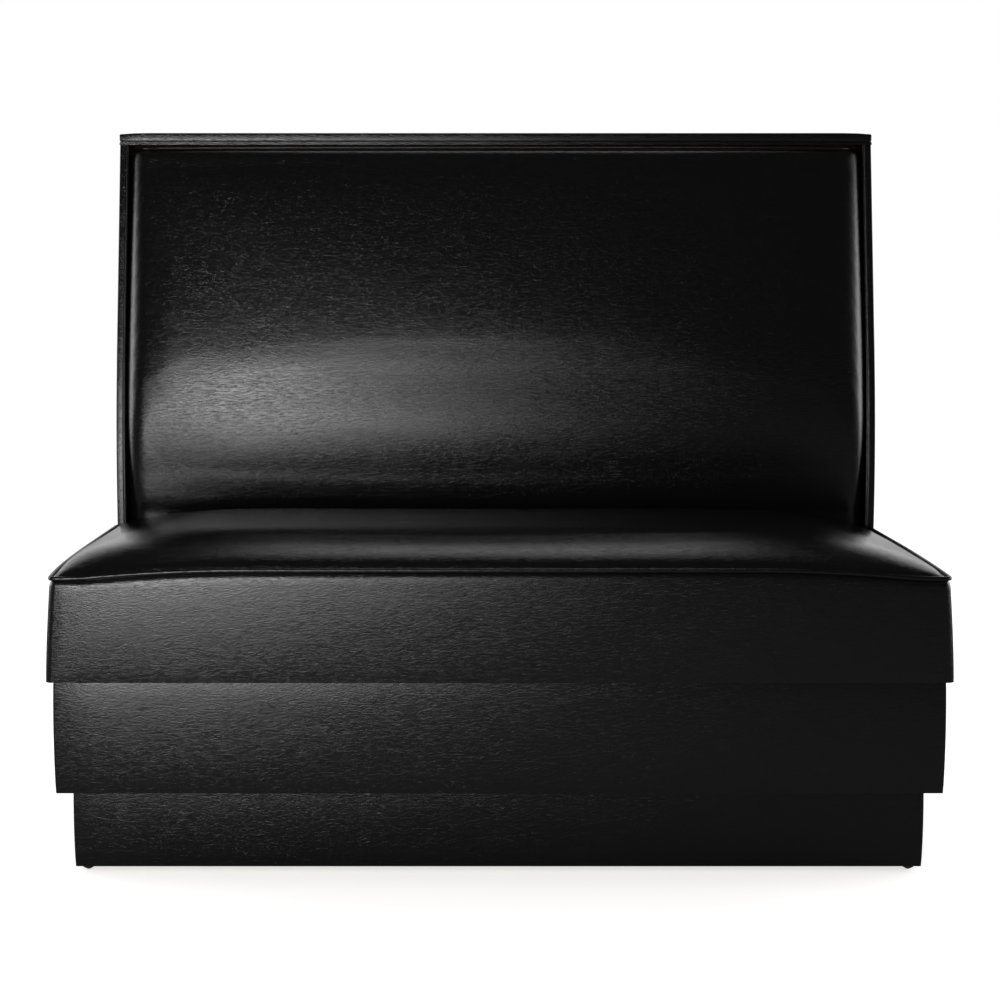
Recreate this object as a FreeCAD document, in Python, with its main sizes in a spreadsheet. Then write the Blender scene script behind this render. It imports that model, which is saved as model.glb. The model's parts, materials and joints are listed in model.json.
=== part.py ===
import FreeCAD, Part
import math
import os
import re
import Sketcher

# Restaurant booth with a plain upholstered back: plinth, seat box, spring seat, cushioned back and cap.
# Millimetres. X runs along the bench, -Y is the front, +Z is up, and the origin is on the floor
# under the middle of the booth.

DRIVING_SIZES = {
    # Overall
    "booth_width": 1219.0,
    "booth_depth": 635.0,
    "vinyl": 1.2,
    "fit_gap": 0.3,
    "cut_over": 5.0,
    "ply": 18.0,
    "block_side": 45.0,
    # Levelling glides
    "glide_lift": 10.3,
    "glide_inset_x": 14.0,
    "glide_inset_y": 22.0,
    "glide_travel": 12.0,
    "pad_diameter": 16.0,
    "pad_height": 6.2,
    "pad_contact_diameter": 6.0,
    "journal_diameter": 6.0,
    "journal_length": 4.0,
    "thread_diameter": 8.0,
    "stem_length": 40.0,
    "running_gap": 0.05,
    "shoulder_gap": 0.1,
    "hex_flats": 13.0,
    "hex_height": 3.6,
    "tee_barrel_diameter": 10.0,
    "tee_barrel_length": 11.0,
    "tee_flange_diameter": 19.0,
    "tee_flange_height": 1.5,
    # Plinth
    "plinth_side_setback": 6.0,
    "plinth_height": 134.3,
    "plinth_setback": 112.5,
    # Seat box
    "box_side_setback": 3.0,
    "box_height": 159.4,
    "box_setback": 23.9,
    "box_floor_ply": 12.0,
    # Seat
    "seat_end_height": 138.3,
    "seat_middle_height": 149.4,
    "seam_start_run": 40.0,
    "seam_level_run": 200.0,
    "seat_side_drawn": 9.0,
    "seat_shoulder_run": 12.0,
    "seat_shoulder_rise": 24.0,
    "seat_swell": 45.0,
    "seat_crest": 2.0,
    "seat_rail_height": 90.0,
    "seat_rail_corner": 10.0,
    "welt_diameter": 6.2,
    "welt_proud": 2.0,
    "welt_corner": 10.0,
    "insulator": 4.0,
    "spring_wire": 3.6,
    "spring_width": 50.0,
    "spring_bar_pitch": 54.0,
    "clip_width": 12.0,
    "clip_metal": 1.2,
    "plate_leg": 36.0,
    "plate_width": 40.0,
    "plate_metal": 2.0,
    "plate_inset": 190.0,
    "screw_diameter": 4.5,
    "screw_head_diameter": 9.0,
    "screw_head_height": 2.4,
    "screw_bite": 12.0,
    # Back
    "back_height": 758.1,
    "back_top_depth": 90.0,
    "panel_ply": 9.5,
    "back_bend_height": 176.0,
    "back_bend_radius": 1450.0,
    "back_rake": 9.8,
    "back_foam": 60.0,
    "back_support": 4.0,
    "back_foam_gap": 0.9,
    "outer_board": 6.0,
    "back_rail_height": 60.0,
    "back_middle_rail_height": 90.0,
    "back_middle_rail_rise": 300.0,
    "rib_place": 200.0,
    "back_roll_radius": 18.0,
    "back_proud": 4.0,
    "back_seat_gap": 1.0,
    "back_top_gap": 7.3,
    "back_welt_diameter": 4.2,
    "top_welt_diameter": 3.0,
    "back_tuck": 90.0,
    "back_crown": 16.0,
    "coach_screw_diameter": 8.0,
    "coach_screw_bite": 38.0,
    "coach_head_diameter": 16.0,
    "coach_head_height": 5.5,
    # Cap
    "cap_overhang": 4.0,
    "cap_height": 13.9,
    "cap_ease_run": 45.0,
    "cap_ease_drop": 1.8,
    "cap_wrap_return": 12.0,
    "cap_strip_height": 5.0,
    "cap_strip_lip": 2.4,
    "cap_strip_groove": 3.0,
    "tenon_length": 60.0,
    "tenon_thickness": 8.0,
    "tenon_height": 34.0,
    "tenon_bite": 8.0,
}

# Places and sizes that follow from the driving ones, in the same words.
DERIVED = {
    "half_width": "booth_width / 2",
    "rear": "booth_depth / 2",
    "seat_front": "welt_proud - booth_depth / 2",
    "body_rear": "rear - vinyl",
    "plinth_base": "glide_lift",
    "plinth_top": "plinth_base + plinth_height",
    "plinth_front": "seat_front + plinth_setback",
    "plinth_half": "half_width - plinth_side_setback",
    "box_base": "plinth_top",
    "box_top": "box_base + box_height",
    "box_front": "seat_front + box_setback",
    "box_half": "half_width - box_side_setback",
    "box_side_inner": "box_half - vinyl - ply",
    "seat_base": "box_top",
    "seat_depth": "panel_front - seat_front",
    "seat_rear": "panel_front - fit_gap",
    "seat_seam_end": "seat_base + seat_end_height",
    "seat_seam_middle": "seat_base + seat_middle_height",
    "seat_top_half": "half_width - seat_side_drawn",
    "seat_rail_top": "seat_base + seat_rail_height",
    "seat_rail_outer": "half_width - seat_side_drawn - vinyl - fit_gap",
    "seat_rail_front": "seat_front + vinyl + fit_gap",
    "seat_rail_rear": "seat_rear - vinyl - fit_gap",
    "spring_top": "seat_rail_top + spring_wire",
    "seat_ledge": "welt_diameter - welt_proud + fit_gap",
    "insulator_base": "spring_top + fit_gap * 2 + clip_metal",
    "insulator_top": "insulator_base + insulator",
    "back_base": "box_top",
    "back_top": "back_base + back_height",
    "panel_outer": "half_width - vinyl",
    "panel_inner": "half_width - vinyl - panel_ply",
    "bend_start": "back_base + back_bend_height",
    "bend_end": "bend_start + back_bend_radius * sin(back_rake)",
    "bend_set": "back_bend_radius * (1 - cos(back_rake))",
    "rake_run": "(back_top - bend_end) * tan(back_rake)",
    "panel_front_top": "rear - back_top_depth",
    "panel_front": "panel_front_top - rake_run - bend_set",
    "support_setback": "back_foam + back_foam_gap",
    "rib_front": "panel_front + support_setback + back_support",
    "rib_rear": "body_rear - outer_board",
    "top_rail_base": "back_top - back_rail_height",
    "middle_rail_base": "back_base + back_middle_rail_rise",
    "middle_rail_top": "middle_rail_base + back_middle_rail_height",
    "cushion_half": "panel_inner - back_welt_diameter - fit_gap",
    "cushion_top": "back_top - back_top_gap",
    "cushion_base": "back_base + back_tuck",
    "cap_depth": "back_top_depth + cap_overhang",
    "cap_front": "rear - cap_depth",
    "cap_base": "back_top + cap_strip_height",
    "cap_top": "cap_base + cap_height",
    "glide_x": "plinth_half - glide_inset_x",
    "glide_front_y": "plinth_front + glide_inset_y",
    "glide_rear_y": "rear - glide_inset_y",
    "coach_y": "body_rear - ply - block_side / 2",
    "tenon_y": "(panel_front_top + support_setback + back_support + rib_rear) / 2",
}


# Shares of the booth's width and of the seat's and back's own lengths.
COACH_SHARES = (-0.4, 0.0, 0.4)
TENON_SHARES = (-0.42, -0.14, 0.14, 0.42)
SPRING_SHARES = (-0.36, -0.12, 0.12, 0.36)
SEAT_ROLL_SHARE = 0.19
SEAT_REAR_FILL_SHARE = 0.53
BACK_FLUSH_SHARE = 0.13
BACK_FULL_SHARE = 0.36
BACK_TOP_FILL_SHARE = 0.55
ROLL_STEPS = 4
SEAT_FALL_STEPS = 2
BACK_FALL_STEPS = 5
WELT_FLATS = 6

document = FreeCAD.newDocument("Booth")
sheet = document.addObject("Spreadsheet::Sheet", "Sizes")
for row, (alias, number) in enumerate(DRIVING_SIZES.items(), start=1):
    sheet.set(f"A{row}", str(number))
    sheet.setAlias(f"A{row}", alias)
document.recompute()


def words(text):
    """Spell a size out in the sheet's cells, following the derived names."""

    def spell(match):
        word = match.group(0)
        if word in DERIVED:
            return "(" + words(DERIVED[word]) + ")"
        if word in DRIVING_SIZES:
            return "Sizes." + word
        return word

    return re.sub(r"[a-z_]+", spell, text)


def size(text):
    """The number that a size text comes to."""
    return float(sheet.evalExpression(words(text)))


def place(piece, x="0", y="0", z="0"):
    """Bind a piece's position to the sheet."""
    piece.setExpression(".Placement.Base.x", words(x))
    piece.setExpression(".Placement.Base.y", words(y))
    piece.setExpression(".Placement.Base.z", words(z))
    return piece


def box(name, low, high):
    """A board between two corners, each given as three size texts."""
    board = document.addObject("Part::Box", name)
    for key, start, end in zip(("Length", "Width", "Height"), low, high):
        board.setExpression(key, words(f"({end}) - ({start})"))
    return place(board, *low)


def rod(name, radius, height, x="0", y="0", z="0"):
    """An upright cylinder."""
    cylinder = document.addObject("Part::Cylinder", name)
    cylinder.setExpression("Radius", words(radius))
    cylinder.setExpression("Height", words(height))
    return place(cylinder, x, y, z)


def cut(name, base, tool):
    """The base with the tool taken away."""
    piece = document.addObject("Part::Cut", name)
    piece.Base = base
    piece.Tool = tool
    return piece


def gather(name, pieces):
    """Several separate solids in one node."""
    group = document.addObject("Part::Compound", name)
    group.Links = pieces
    return group


def fuse(name, pieces):
    """Several overlapping solids made one."""
    whole = document.addObject("Part::MultiFuse", name)
    whole.Shapes = pieces
    return whole


def plane_of(body, role):
    """The body's own origin plane with this role."""
    return [item for item in body.Origin.OriginFeatures if item.Role == role][0]


def rounded_edge(start, end, radius, side):
    """An arc from start to end that bulges to the given side, and which of its ends is the start."""
    middle = (start + end) * 0.5
    half_chord = (end - start).Length / 2
    across = (end - start).cross(FreeCAD.Vector(0, 0, 1)).normalize()
    centre = middle - across * side * math.sqrt(radius**2 - half_chord**2)
    angles = [math.atan2((point - centre).y, (point - centre).x) for point in (start, end)]
    circle = Part.Circle(centre, FreeCAD.Vector(0, 0, 1), radius)
    if side > 0:
        return Part.ArcOfCircle(circle, angles[0], angles[1]), 1
    return Part.ArcOfCircle(circle, angles[1], angles[0]), 2


def outline(body, name, role, corners):
    """A closed sketch through corners (across, up); one with (radius, side) too starts an arc."""
    sketch = body.newObject("Sketcher::SketchObject", name)
    sketch.AttachmentSupport = [(plane_of(body, role), "")]
    sketch.MapMode = "FlatFace"
    points = [FreeCAD.Vector(size(corner[0]), size(corner[1]), 0) for corner in corners]
    starts = []
    for number, corner in enumerate(corners):
        start = points[number]
        end = points[(number + 1) % len(points)]
        if len(corner) > 2:
            arc, first = rounded_edge(start, end, size(corner[2]), corner[3])
            sketch.addGeometry(arc)
            starts.append(first)
            radius = sketch.addConstraint(Sketcher.Constraint("Radius", number, size(corner[2])))
            sketch.setExpression(f"Constraints[{radius}]", words(corner[2]))
        else:
            sketch.addGeometry(Part.LineSegment(start, end))
            starts.append(1)
    for number, corner in enumerate(corners):
        following = (number + 1) % len(corners)
        last = 3 - starts[number]
        sketch.addConstraint(
            Sketcher.Constraint("Coincident", number, last, following, starts[following])
        )
        for kind, text in (("DistanceX", corner[0]), ("DistanceY", corner[1])):
            fixed = sketch.addConstraint(
                Sketcher.Constraint(kind, -1, 1, number, starts[number], size(text))
            )
            sketch.setExpression(f"Constraints[{fixed}]", words(text))
    return sketch


def padded(name, role, corners, length, middle=False):
    """A body that pads one closed outline, from its plane or half each way."""
    body = document.addObject("PartDesign::Body", name)
    pad = body.newObject("PartDesign::Pad", name + "_pad")
    pad.Profile = outline(body, name + "_outline", role, corners)
    pad.Midplane = middle
    pad.setExpression("Length", words(length))
    document.recompute()
    return body


def turned(name, corners):
    """A body of revolution about Z, from its half outline in the XZ plane."""
    body = document.addObject("PartDesign::Body", name)
    revolution = body.newObject("PartDesign::Revolution", name + "_turn")
    sketch = outline(body, name + "_outline", "XZ_Plane", corners)
    revolution.Profile = sketch
    revolution.ReferenceAxis = (sketch, ["V_Axis"])
    revolution.Angle = 360
    document.recompute()
    return body


def spread(shares):
    """Places along the bench, as size texts."""
    return [f"{share} * booth_width" for share in shares]


def drilled(name, blank, holes):
    """A board with its holes cut."""
    tool = fuse(name + "_holes", holes) if len(holes) > 1 else holes[0]
    return cut(name, blank, tool)


def solid(name, shape):
    """A piece whose shape is worked out here."""
    piece = document.addObject("Part::Feature", name)
    piece.Shape = shape
    return piece


# Plinth

def corner_signs():
    """The four corners as (name, left or right, front or rear)."""
    return [
        ("front_left", -1, -1),
        ("front_right", 1, -1),
        ("rear_left", -1, 1),
        ("rear_right", 1, 1),
    ]


def glide_place(across, along):
    """Where a levelling glide stands, as two size texts."""
    y = "glide_front_y" if along < 0 else "glide_rear_y"
    return f"{across} * (glide_x)", y


def ring(name, half, front, base, top):
    """A vinyl skin round the four sides of a carcase."""
    outer = box(name + "_outer", (f"0 - {half}", front, base), (half, "rear", top))
    inner = box(
        name + "_inner",
        (f"vinyl - {half}", f"{front} + vinyl", f"{base} - cut_over"),
        (f"{half} - vinyl", "body_rear", f"{top} + cut_over"),
    )
    return cut(name, outer, inner)


def plinth():
    inner = "plinth_half - vinyl"
    post = f"{inner} - block_side"
    front = "plinth_front + vinyl"
    zs = ("plinth_base", "plinth_top")
    boards = [
        box(
            "plinth_front_board",
            (f"0 - ({post})", front, zs[0]),
            (post, f"{front} + ply", zs[1]),
        ),
        box(
            "plinth_rear_board",
            (f"0 - ({post})", "body_rear - ply", zs[0]),
            (post, "body_rear", zs[1]),
        ),
        box(
            "plinth_centre_rib",
            ("0 - ply / 2", f"{front} + ply", zs[0]),
            ("ply / 2", "body_rear - ply", zs[1]),
        ),
    ]
    for name, low, high in (
        ("plinth_left_board", f"0 - ({inner})", f"ply - ({inner})"),
        ("plinth_right_board", f"{inner} - ply", inner),
    ):
        boards.append(
            box(
                name,
                (low, f"{front} + block_side", zs[0]),
                (high, "body_rear - block_side", zs[1]),
            )
        )
    posts = []
    nuts = []
    for name, across, along in corner_signs():
        x, y = glide_place(across, along)
        low_x = f"0 - ({inner})" if across < 0 else post
        low_y = front if along < 0 else "body_rear - block_side"
        block = box(
            "post_block_" + name,
            (low_x, low_y, zs[0]),
            (f"{low_x} + block_side", f"{low_y} + block_side", zs[1]),
        )
        barrel_hole = rod(
            "barrel_hole_" + name,
            "tee_barrel_diameter / 2",
            "stem_length + glide_travel + cut_over",
            x,
            y,
            "plinth_base - cut_over",
        )
        flange_hole = rod(
            "flange_hole_" + name,
            "tee_flange_diameter / 2",
            "tee_flange_height + cut_over",
            x,
            y,
            "plinth_base - cut_over",
        )
        hole = fuse("glide_hole_" + name, [barrel_hole, flange_hole])
        posts.append(cut("post_" + name, block, hole))
        flange = rod(
            "tee_flange_" + name, "tee_flange_diameter / 2", "tee_flange_height", x, y, "plinth_base"
        )
        barrel = rod(
            "tee_barrel_" + name, "tee_barrel_diameter / 2", "tee_barrel_length", x, y, "plinth_base"
        )
        bore = rod(
            "tee_bore_" + name,
            "thread_diameter / 2 + running_gap",
            "tee_barrel_length + cut_over * 2",
            x,
            y,
            "plinth_base - cut_over",
        )
        nuts.append(cut("tee_nut_" + name, fuse("tee_body_" + name, [flange, barrel]), bore))
    return boards + [
        gather("plinth_corner_posts", posts),
        gather("glide_tee_nuts", nuts),
        ring("plinth_cover", "plinth_half", "plinth_front", "plinth_base", "plinth_top"),
    ]


# Levelling glides: a domed pad that stands still and a stem that screws through its tee nut

def glide_pad(name, x, y):
    bore = "journal_diameter / 2 + running_gap"
    floor = "pad_height - journal_length - shoulder_gap"
    rise = "pad_height / 2"
    pad = turned(
        "glide_pad_" + name,
        [
            ("0", "0"),
            ("pad_contact_diameter / 2", "0"),
            ("pad_diameter / 2", rise),
            ("pad_diameter / 2", "pad_height"),
            (bore, "pad_height"),
            (bore, floor),
            ("0", floor),
        ],
    )
    return place(pad, x, y)


def glide_stem(name, x, y):
    journal = rod(
        "journal_" + name, "journal_diameter / 2", "journal_length + shoulder_gap * 2", x, y,
        "pad_height - journal_length",
    )
    thread = rod(
        "thread_" + name, "thread_diameter / 2", "stem_length", x, y,
        "pad_height + shoulder_gap + hex_height / 2",
    )
    flats = document.addObject("Part::Prism", "flats_" + name)
    flats.Polygon = 6
    flats.setExpression("Circumradius", words("hex_flats / (2 * cos(30))"))
    flats.setExpression("Height", words("hex_height"))
    place(flats, x, y, "pad_height + shoulder_gap")
    return fuse("glide_stem_" + name, [journal, flats, thread])


def glides():
    pieces = []
    for name, across, along in corner_signs():
        x, y = glide_place(across, along)
        pieces.append(glide_pad(name, x, y))
        pieces.append(glide_stem(name, x, y))
    return pieces


# Joining plates between the seat and its box

def side_screw(name, x, y, z, side):
    """A hexagon-head wood screw that points outwards, its head's inner face at x."""
    head = document.addObject("Part::Prism", name + "_head")
    head.Polygon = 6
    head.setExpression("Circumradius", words("screw_head_diameter / 2"))
    head.setExpression("Height", words("screw_head_height"))
    place(head, f"{x} - {side} * screw_head_height", y, z)
    shank = rod(name + "_shank", "screw_diameter / 2", "screw_bite", x, y, z)
    for part in (head, shank):
        part.Placement.Rotation = FreeCAD.Rotation(FreeCAD.Vector(0, side, 0), 90)
    return fuse(name, [head, shank])


def screw_hole(name, x, y, z, side, length):
    """The hole for such a screw."""
    hole = rod(name, "screw_diameter / 2", length, f"{x} - {side} * cut_over", y, z)
    hole.Placement.Rotation = FreeCAD.Rotation(FreeCAD.Vector(0, side, 0), 90)
    return hole


def plate_places():
    """The joining plates as (name, side, y)."""
    return [
        ("left", -1, "seat_rail_front + ply + plate_inset"),
        ("right", 1, "seat_rail_front + ply + plate_inset"),
    ]


# Seat box

def seat_box():
    inner = "box_half - vinyl"
    front = "box_front + vinyl"
    floor_top = "box_base + box_floor_ply"
    side = "box_side_inner"
    pieces = [
        box(
            "box_floor_board",
            (f"0 - ({inner})", front, "box_base"),
            (inner, "body_rear", floor_top),
        ),
        box(
            "box_front_board",
            (f"0 - ({inner})", front, floor_top),
            (inner, f"{front} + ply", "box_top"),
        ),
        box(
            "box_rear_board",
            (f"0 - ({inner})", "body_rear - ply", floor_top),
            (inner, "body_rear", "box_top"),
        ),
        box(
            "box_centre_divider",
            ("0 - ply / 2", f"{front} + ply", floor_top),
            ("ply / 2", "body_rear - ply - block_side", "box_top"),
        ),
    ]
    for hand, low, high, way in (
        ("left", f"0 - ({inner})", f"0 - ({side})", -1),
        ("right", side, inner, 1),
    ):
        blank = box(
            f"box_{hand}_blank",
            (low, f"{front} + ply", floor_top),
            (high, "body_rear - ply", "box_top"),
        )
        holes = [
            screw_hole(
                f"box_hole_{name}",
                f"{way} * ({side})",
                y,
                "seat_base - plate_leg / 2",
                way,
                "screw_bite + cut_over",
            )
            for name, plate_side, y in plate_places()
            if plate_side == way
        ]
        pieces.append(drilled(f"box_{hand}_board", blank, holes))
    blocks = []
    for name, low in (("left", f"0 - ({side})"), ("right", f"{side} - block_side")):
        blocks.append(
            box(
                "box_block_" + name,
                (low, f"{front} + ply", floor_top),
                (f"{low} + block_side", f"{front} + ply + block_side", "box_top"),
            )
        )
    pieces.append(gather("box_corner_blocks", blocks))
    cleat = box(
        "cleat_blank",
        (f"0 - ({side})", "body_rear - ply - block_side", "box_top - block_side"),
        (side, "body_rear - ply", "box_top"),
    )
    holes = [
        rod(f"cleat_hole_{number}", "coach_screw_diameter / 2", "block_side + cut_over * 2", x,
            "coach_y", "box_top - block_side - cut_over")
        for number, x in enumerate(spread(COACH_SHARES))
    ]
    pieces.append(drilled("box_rear_cleat", cleat, holes))
    pieces.append(ring("box_cover", "box_half", "box_front", "box_base", "box_top"))
    return pieces


# Seat

def arc_edge(first, middle, last):
    """An arc through three points."""
    return Part.Arc(first, middle, last).toShape()


def line_edge(first, last):
    """A straight edge."""
    return Part.LineSegment(first, last).toShape()


def seam_rise(run):
    """How far the seam has risen at this run inwards from the seat's shoulder."""
    start = size("seam_start_run")
    level = size("seam_level_run")
    rise = size("seat_seam_middle - seat_seam_end")
    slope = 2 * rise / (start + level)
    if run <= start:
        return slope * run**2 / (2 * start)
    return rise - slope * (start + level - run) ** 2 / (2 * level)


def seat_top_edges(y, fill, inset, side):
    """The seat's upper outline from one side's seam corner to where it runs level, and that point."""
    half = size("seat_top_half") - inset
    low = size("seat_seam_end") - inset
    ledge = size("seat_ledge")
    shoulder_run = size("seat_shoulder_run")
    shoulder = size("seat_shoulder_rise") * fill
    swell_left = size("seat_swell") * fill - shoulder
    start = size("seam_start_run")
    whole = start + size("seam_level_run")

    def at(run):
        rise = seam_rise(run) + shoulder + swell_left * (1 - (1 - run / whole) ** 4)
        return FreeCAD.Vector(side * (half - ledge - shoulder_run - run), y, low + rise)

    corner = FreeCAD.Vector(side * half, y, low)
    foot = FreeCAD.Vector(side * (half - ledge), y, low)
    crown = at(0)
    eighth = math.sqrt(0.5)
    knee = FreeCAD.Vector(
        side * (half - ledge - shoulder_run * (1 - eighth)), y, low + shoulder * eighth
    )
    edges = [
        line_edge(corner, foot),
        arc_edge(foot, knee, crown) if fill else line_edge(foot, crown),
        arc_edge(crown, at(start / 2), at(start)),
        arc_edge(at(start), at((start + whole) / 2), at(whole)),
    ]
    return edges, corner, at(whole)


def seat_section(station_share, fill, inset, base):
    """The seat's outline at one place from front to rear, as a closed wire."""
    front = size("seat_front") + inset
    rear = size("seat_rear") - inset
    y = front + (rear - front) * station_share
    drawn = size("seat_side_drawn") * (base - size("seat_base")) / size("seat_end_height")
    bottom_half = size("half_width") - inset - drawn
    right, right_corner, right_level = seat_top_edges(y, fill, inset, 1)
    left, left_corner, left_level = seat_top_edges(y, fill, inset, -1)
    crest = FreeCAD.Vector(0, y, right_level.z + size("seat_crest") * fill)
    low_right = FreeCAD.Vector(bottom_half, y, base)
    low_left = FreeCAD.Vector(-bottom_half, y, base)
    top = arc_edge(right_level, crest, left_level) if fill else line_edge(right_level, left_level)
    round_it = [line_edge(low_left, low_right), line_edge(low_right, right_corner)] + right + [top]
    return Part.Wire(round_it + left[::-1] + [line_edge(left_corner, low_left)])


def swell(start, full, last_fill, fall_steps):
    """Stations along a cushion with their fill: a quarter roll up, then a slow fall to the end."""
    stations = []
    for step in range(ROLL_STEPS + 1):
        turn = math.pi / 2 * step / ROLL_STEPS
        stations.append((start + (full - start) * (1 - math.cos(turn)), math.sin(turn)))
    for step in range(1, fall_steps + 1):
        along = step / fall_steps
        stations.append((full + (1 - full) * along, 1 - (1 - last_fill) * along**2))
    return stations


def seat_form(inset, base):
    """The seat's crowned form with a ledge for the welt, drawn in all round by an inset."""
    ledge_share = size("seat_ledge / seat_depth")
    stations = [(0.0, 0.0)]
    stations += swell(ledge_share, SEAT_ROLL_SHARE, SEAT_REAR_FILL_SHARE, SEAT_FALL_STEPS)
    wires = [seat_section(station, fill, inset, base) for station, fill in stations]
    return Part.makeLoft(wires, True, True)


def below_seam():
    """All that lies under the seam where boxing and top cover meet."""
    over = size("cut_over")
    y = size("seat_front") - over
    wide = size("half_width") + over
    floor = size("seat_base") - over
    right, right_corner, right_level = seat_top_edges(y, 0.0, 0.0, 1)
    left, left_corner, left_level = seat_top_edges(y, 0.0, 0.0, -1)
    far_right = FreeCAD.Vector(wide, y, right_corner.z)
    far_left = FreeCAD.Vector(-wide, y, left_corner.z)
    low_right = FreeCAD.Vector(wide, y, floor)
    low_left = FreeCAD.Vector(-wide, y, floor)
    edges = [
        line_edge(low_left, low_right),
        line_edge(low_right, far_right),
        line_edge(far_right, right_corner),
    ]
    edges += right + [line_edge(right_level, left_level)] + left[::-1]
    edges += [line_edge(left_corner, far_left), line_edge(far_left, low_left)]
    return Part.Face(Part.Wire(edges)).extrude(FreeCAD.Vector(0, size("seat_depth") + 2 * over, 0))


def welt_along(path, radius, ahead, up):
    """A piped welt along a path of tangent edges, its round drawn as flats."""
    start = path.Vertexes[0].Point
    across = ahead.cross(up).normalize()
    points = []
    for step in range(WELT_FLATS + 1):
        turn = 2 * math.pi * (step + 0.5) / WELT_FLATS
        points.append(start + across * radius * math.cos(turn) + up * radius * math.sin(turn))
    return path.makePipe(Part.Face(Part.makePolygon(points)))


def welt_path():
    """The seat welt's line: forward along one side, round the front and back along the other."""
    radius = size("welt_diameter") / 2
    x = size("seat_top_half + welt_proud") - radius
    y = size("seat_front - welt_proud") + radius
    low = size("seat_seam_end + running_gap") + radius
    turn = size("welt_corner")
    shoulder = size("seat_top_half - seat_ledge - seat_shoulder_run")
    start = size("seam_start_run")
    whole = start + size("seam_level_run")
    eighth = turn * (1 - math.sqrt(0.5))
    halves = []
    for side in (-1, 1):
        rear = FreeCAD.Vector(side * x, size("seat_rear"), low)
        bend = FreeCAD.Vector(side * x, y + turn, low)
        knee = FreeCAD.Vector(side * (x - eighth), y + eighth, low)
        corner = FreeCAD.Vector(side * (x - turn), y, low)
        runs = (0, start / 2, start, (start + whole) / 2, whole)
        rising = [FreeCAD.Vector(side * (shoulder - run), y, low + seam_rise(run)) for run in runs]
        halves.append(
            [
                line_edge(rear, bend),
                arc_edge(bend, knee, corner),
                line_edge(corner, rising[0]),
                arc_edge(rising[0], rising[1], rising[2]),
                arc_edge(rising[2], rising[3], rising[4]),
            ]
        )
    left, right = halves
    level = [left[-1].Vertexes[-1].Point, right[-1].Vertexes[-1].Point]
    return Part.Wire(Part.__sortEdges__(left + [line_edge(*level)] + right))


def seat_soft():
    """Foam, top cover, boxing and welt of the seat."""
    outer = seat_form(0.0, size("seat_base"))
    inner = seat_form(size("vinyl"), size("seat_base - cut_over"))
    shell = outer.cut(inner)
    below = below_seam()
    ahead = FreeCAD.Vector(0, 1, 0)
    welt = welt_along(welt_path(), size("welt_diameter") / 2, ahead, FreeCAD.Vector(0, 0, 1))
    return [
        solid("seat_foam", seat_form(size("vinyl + fit_gap"), size("insulator_top + fit_gap"))),
        solid("seat_top_cover", shell.cut(below)),
        solid("seat_boxing", shell.common(below)),
        solid("seat_welt", welt),
    ]


def spring_path(x, start, end, z):
    """A flat zigzag of bars from the front rail to the rear rail, its bends folded in three."""
    gaps = round((end - start) / size("spring_bar_pitch"))
    pitch = (end - start) / gaps
    reach = size("spring_width - spring_wire") / 2
    fold = pitch / 4
    points = [FreeCAD.Vector(x - reach, start, z)]
    for number in range(gaps):
        side = 1 if number % 2 == 0 else -1
        y = start + pitch * number
        points.append(FreeCAD.Vector(x + side * (reach - fold), y, z))
        points.append(FreeCAD.Vector(x + side * reach, y + fold, z))
        points.append(FreeCAD.Vector(x + side * reach, y + pitch - fold, z))
        points.append(FreeCAD.Vector(x + side * (reach - fold), y + pitch, z))
    last_side = 1 if gaps % 2 == 0 else -1
    points.append(FreeCAD.Vector(x + last_side * reach, end, z))
    return Part.makePolygon(points)


def springs():
    """Sinuous springs across the seat frame."""
    wire = size("spring_wire")
    start = size("seat_rail_front + ply / 2")
    end = size("seat_rail_rear - ply / 2")
    solids = []
    for x_text in spread(SPRING_SHARES):
        path = spring_path(size(x_text), start, end, size("seat_rail_top"))
        flat = path.makeOffset2D(wire / 2, join=2, fill=True, openResult=False)
        solids.append(flat.extrude(FreeCAD.Vector(0, 0, wire)))
    return solid("seat_springs", Part.makeCompound(solids))


def spring_clips():
    """Folded steel clips that hold each spring's end bar on its rail."""
    inner = "spring_wire / 2 + fit_gap"
    outer = "spring_wire / 2 + fit_gap + clip_metal"
    low = "0"
    high = "spring_wire + fit_gap + clip_metal"
    clips = []
    for number, x in enumerate(spread(SPRING_SHARES)):
        for end, y in (("front", "seat_rail_front + ply / 2"), ("rear", "seat_rail_rear - ply / 2")):
            clip = padded(
                f"clip_{end}_{number}",
                "YZ_Plane",
                [
                    (f"0 - ({outer})", low),
                    (f"0 - ({inner})", low),
                    (f"0 - ({inner})", "spring_wire + fit_gap"),
                    (inner, "spring_wire + fit_gap"),
                    (inner, low),
                    (outer, low),
                    (outer, high),
                    (f"0 - ({outer})", high),
                ],
                "clip_width",
                True,
            )
            clips.append(place(clip, x, y, "seat_rail_top"))
    return gather("seat_spring_clips", clips)


def rounded_board(name, rear, height, base):
    """A flat board over the seat frame's width, its two front corners rounded in plan."""
    front = "seat_rail_front"
    outer = "seat_rail_outer"
    inward = f"{outer} - seat_rail_corner"
    corners = [
        (f"0 - ({inward})", front),
        (inward, front, "seat_rail_corner", 1),
        (outer, f"{front} + seat_rail_corner"),
        (outer, rear),
        (f"0 - ({outer})", rear),
        (f"0 - ({outer})", f"{front} + seat_rail_corner", "seat_rail_corner", 1),
    ]
    return place(padded(name, "XY_Plane", corners, height), z=base)


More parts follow.
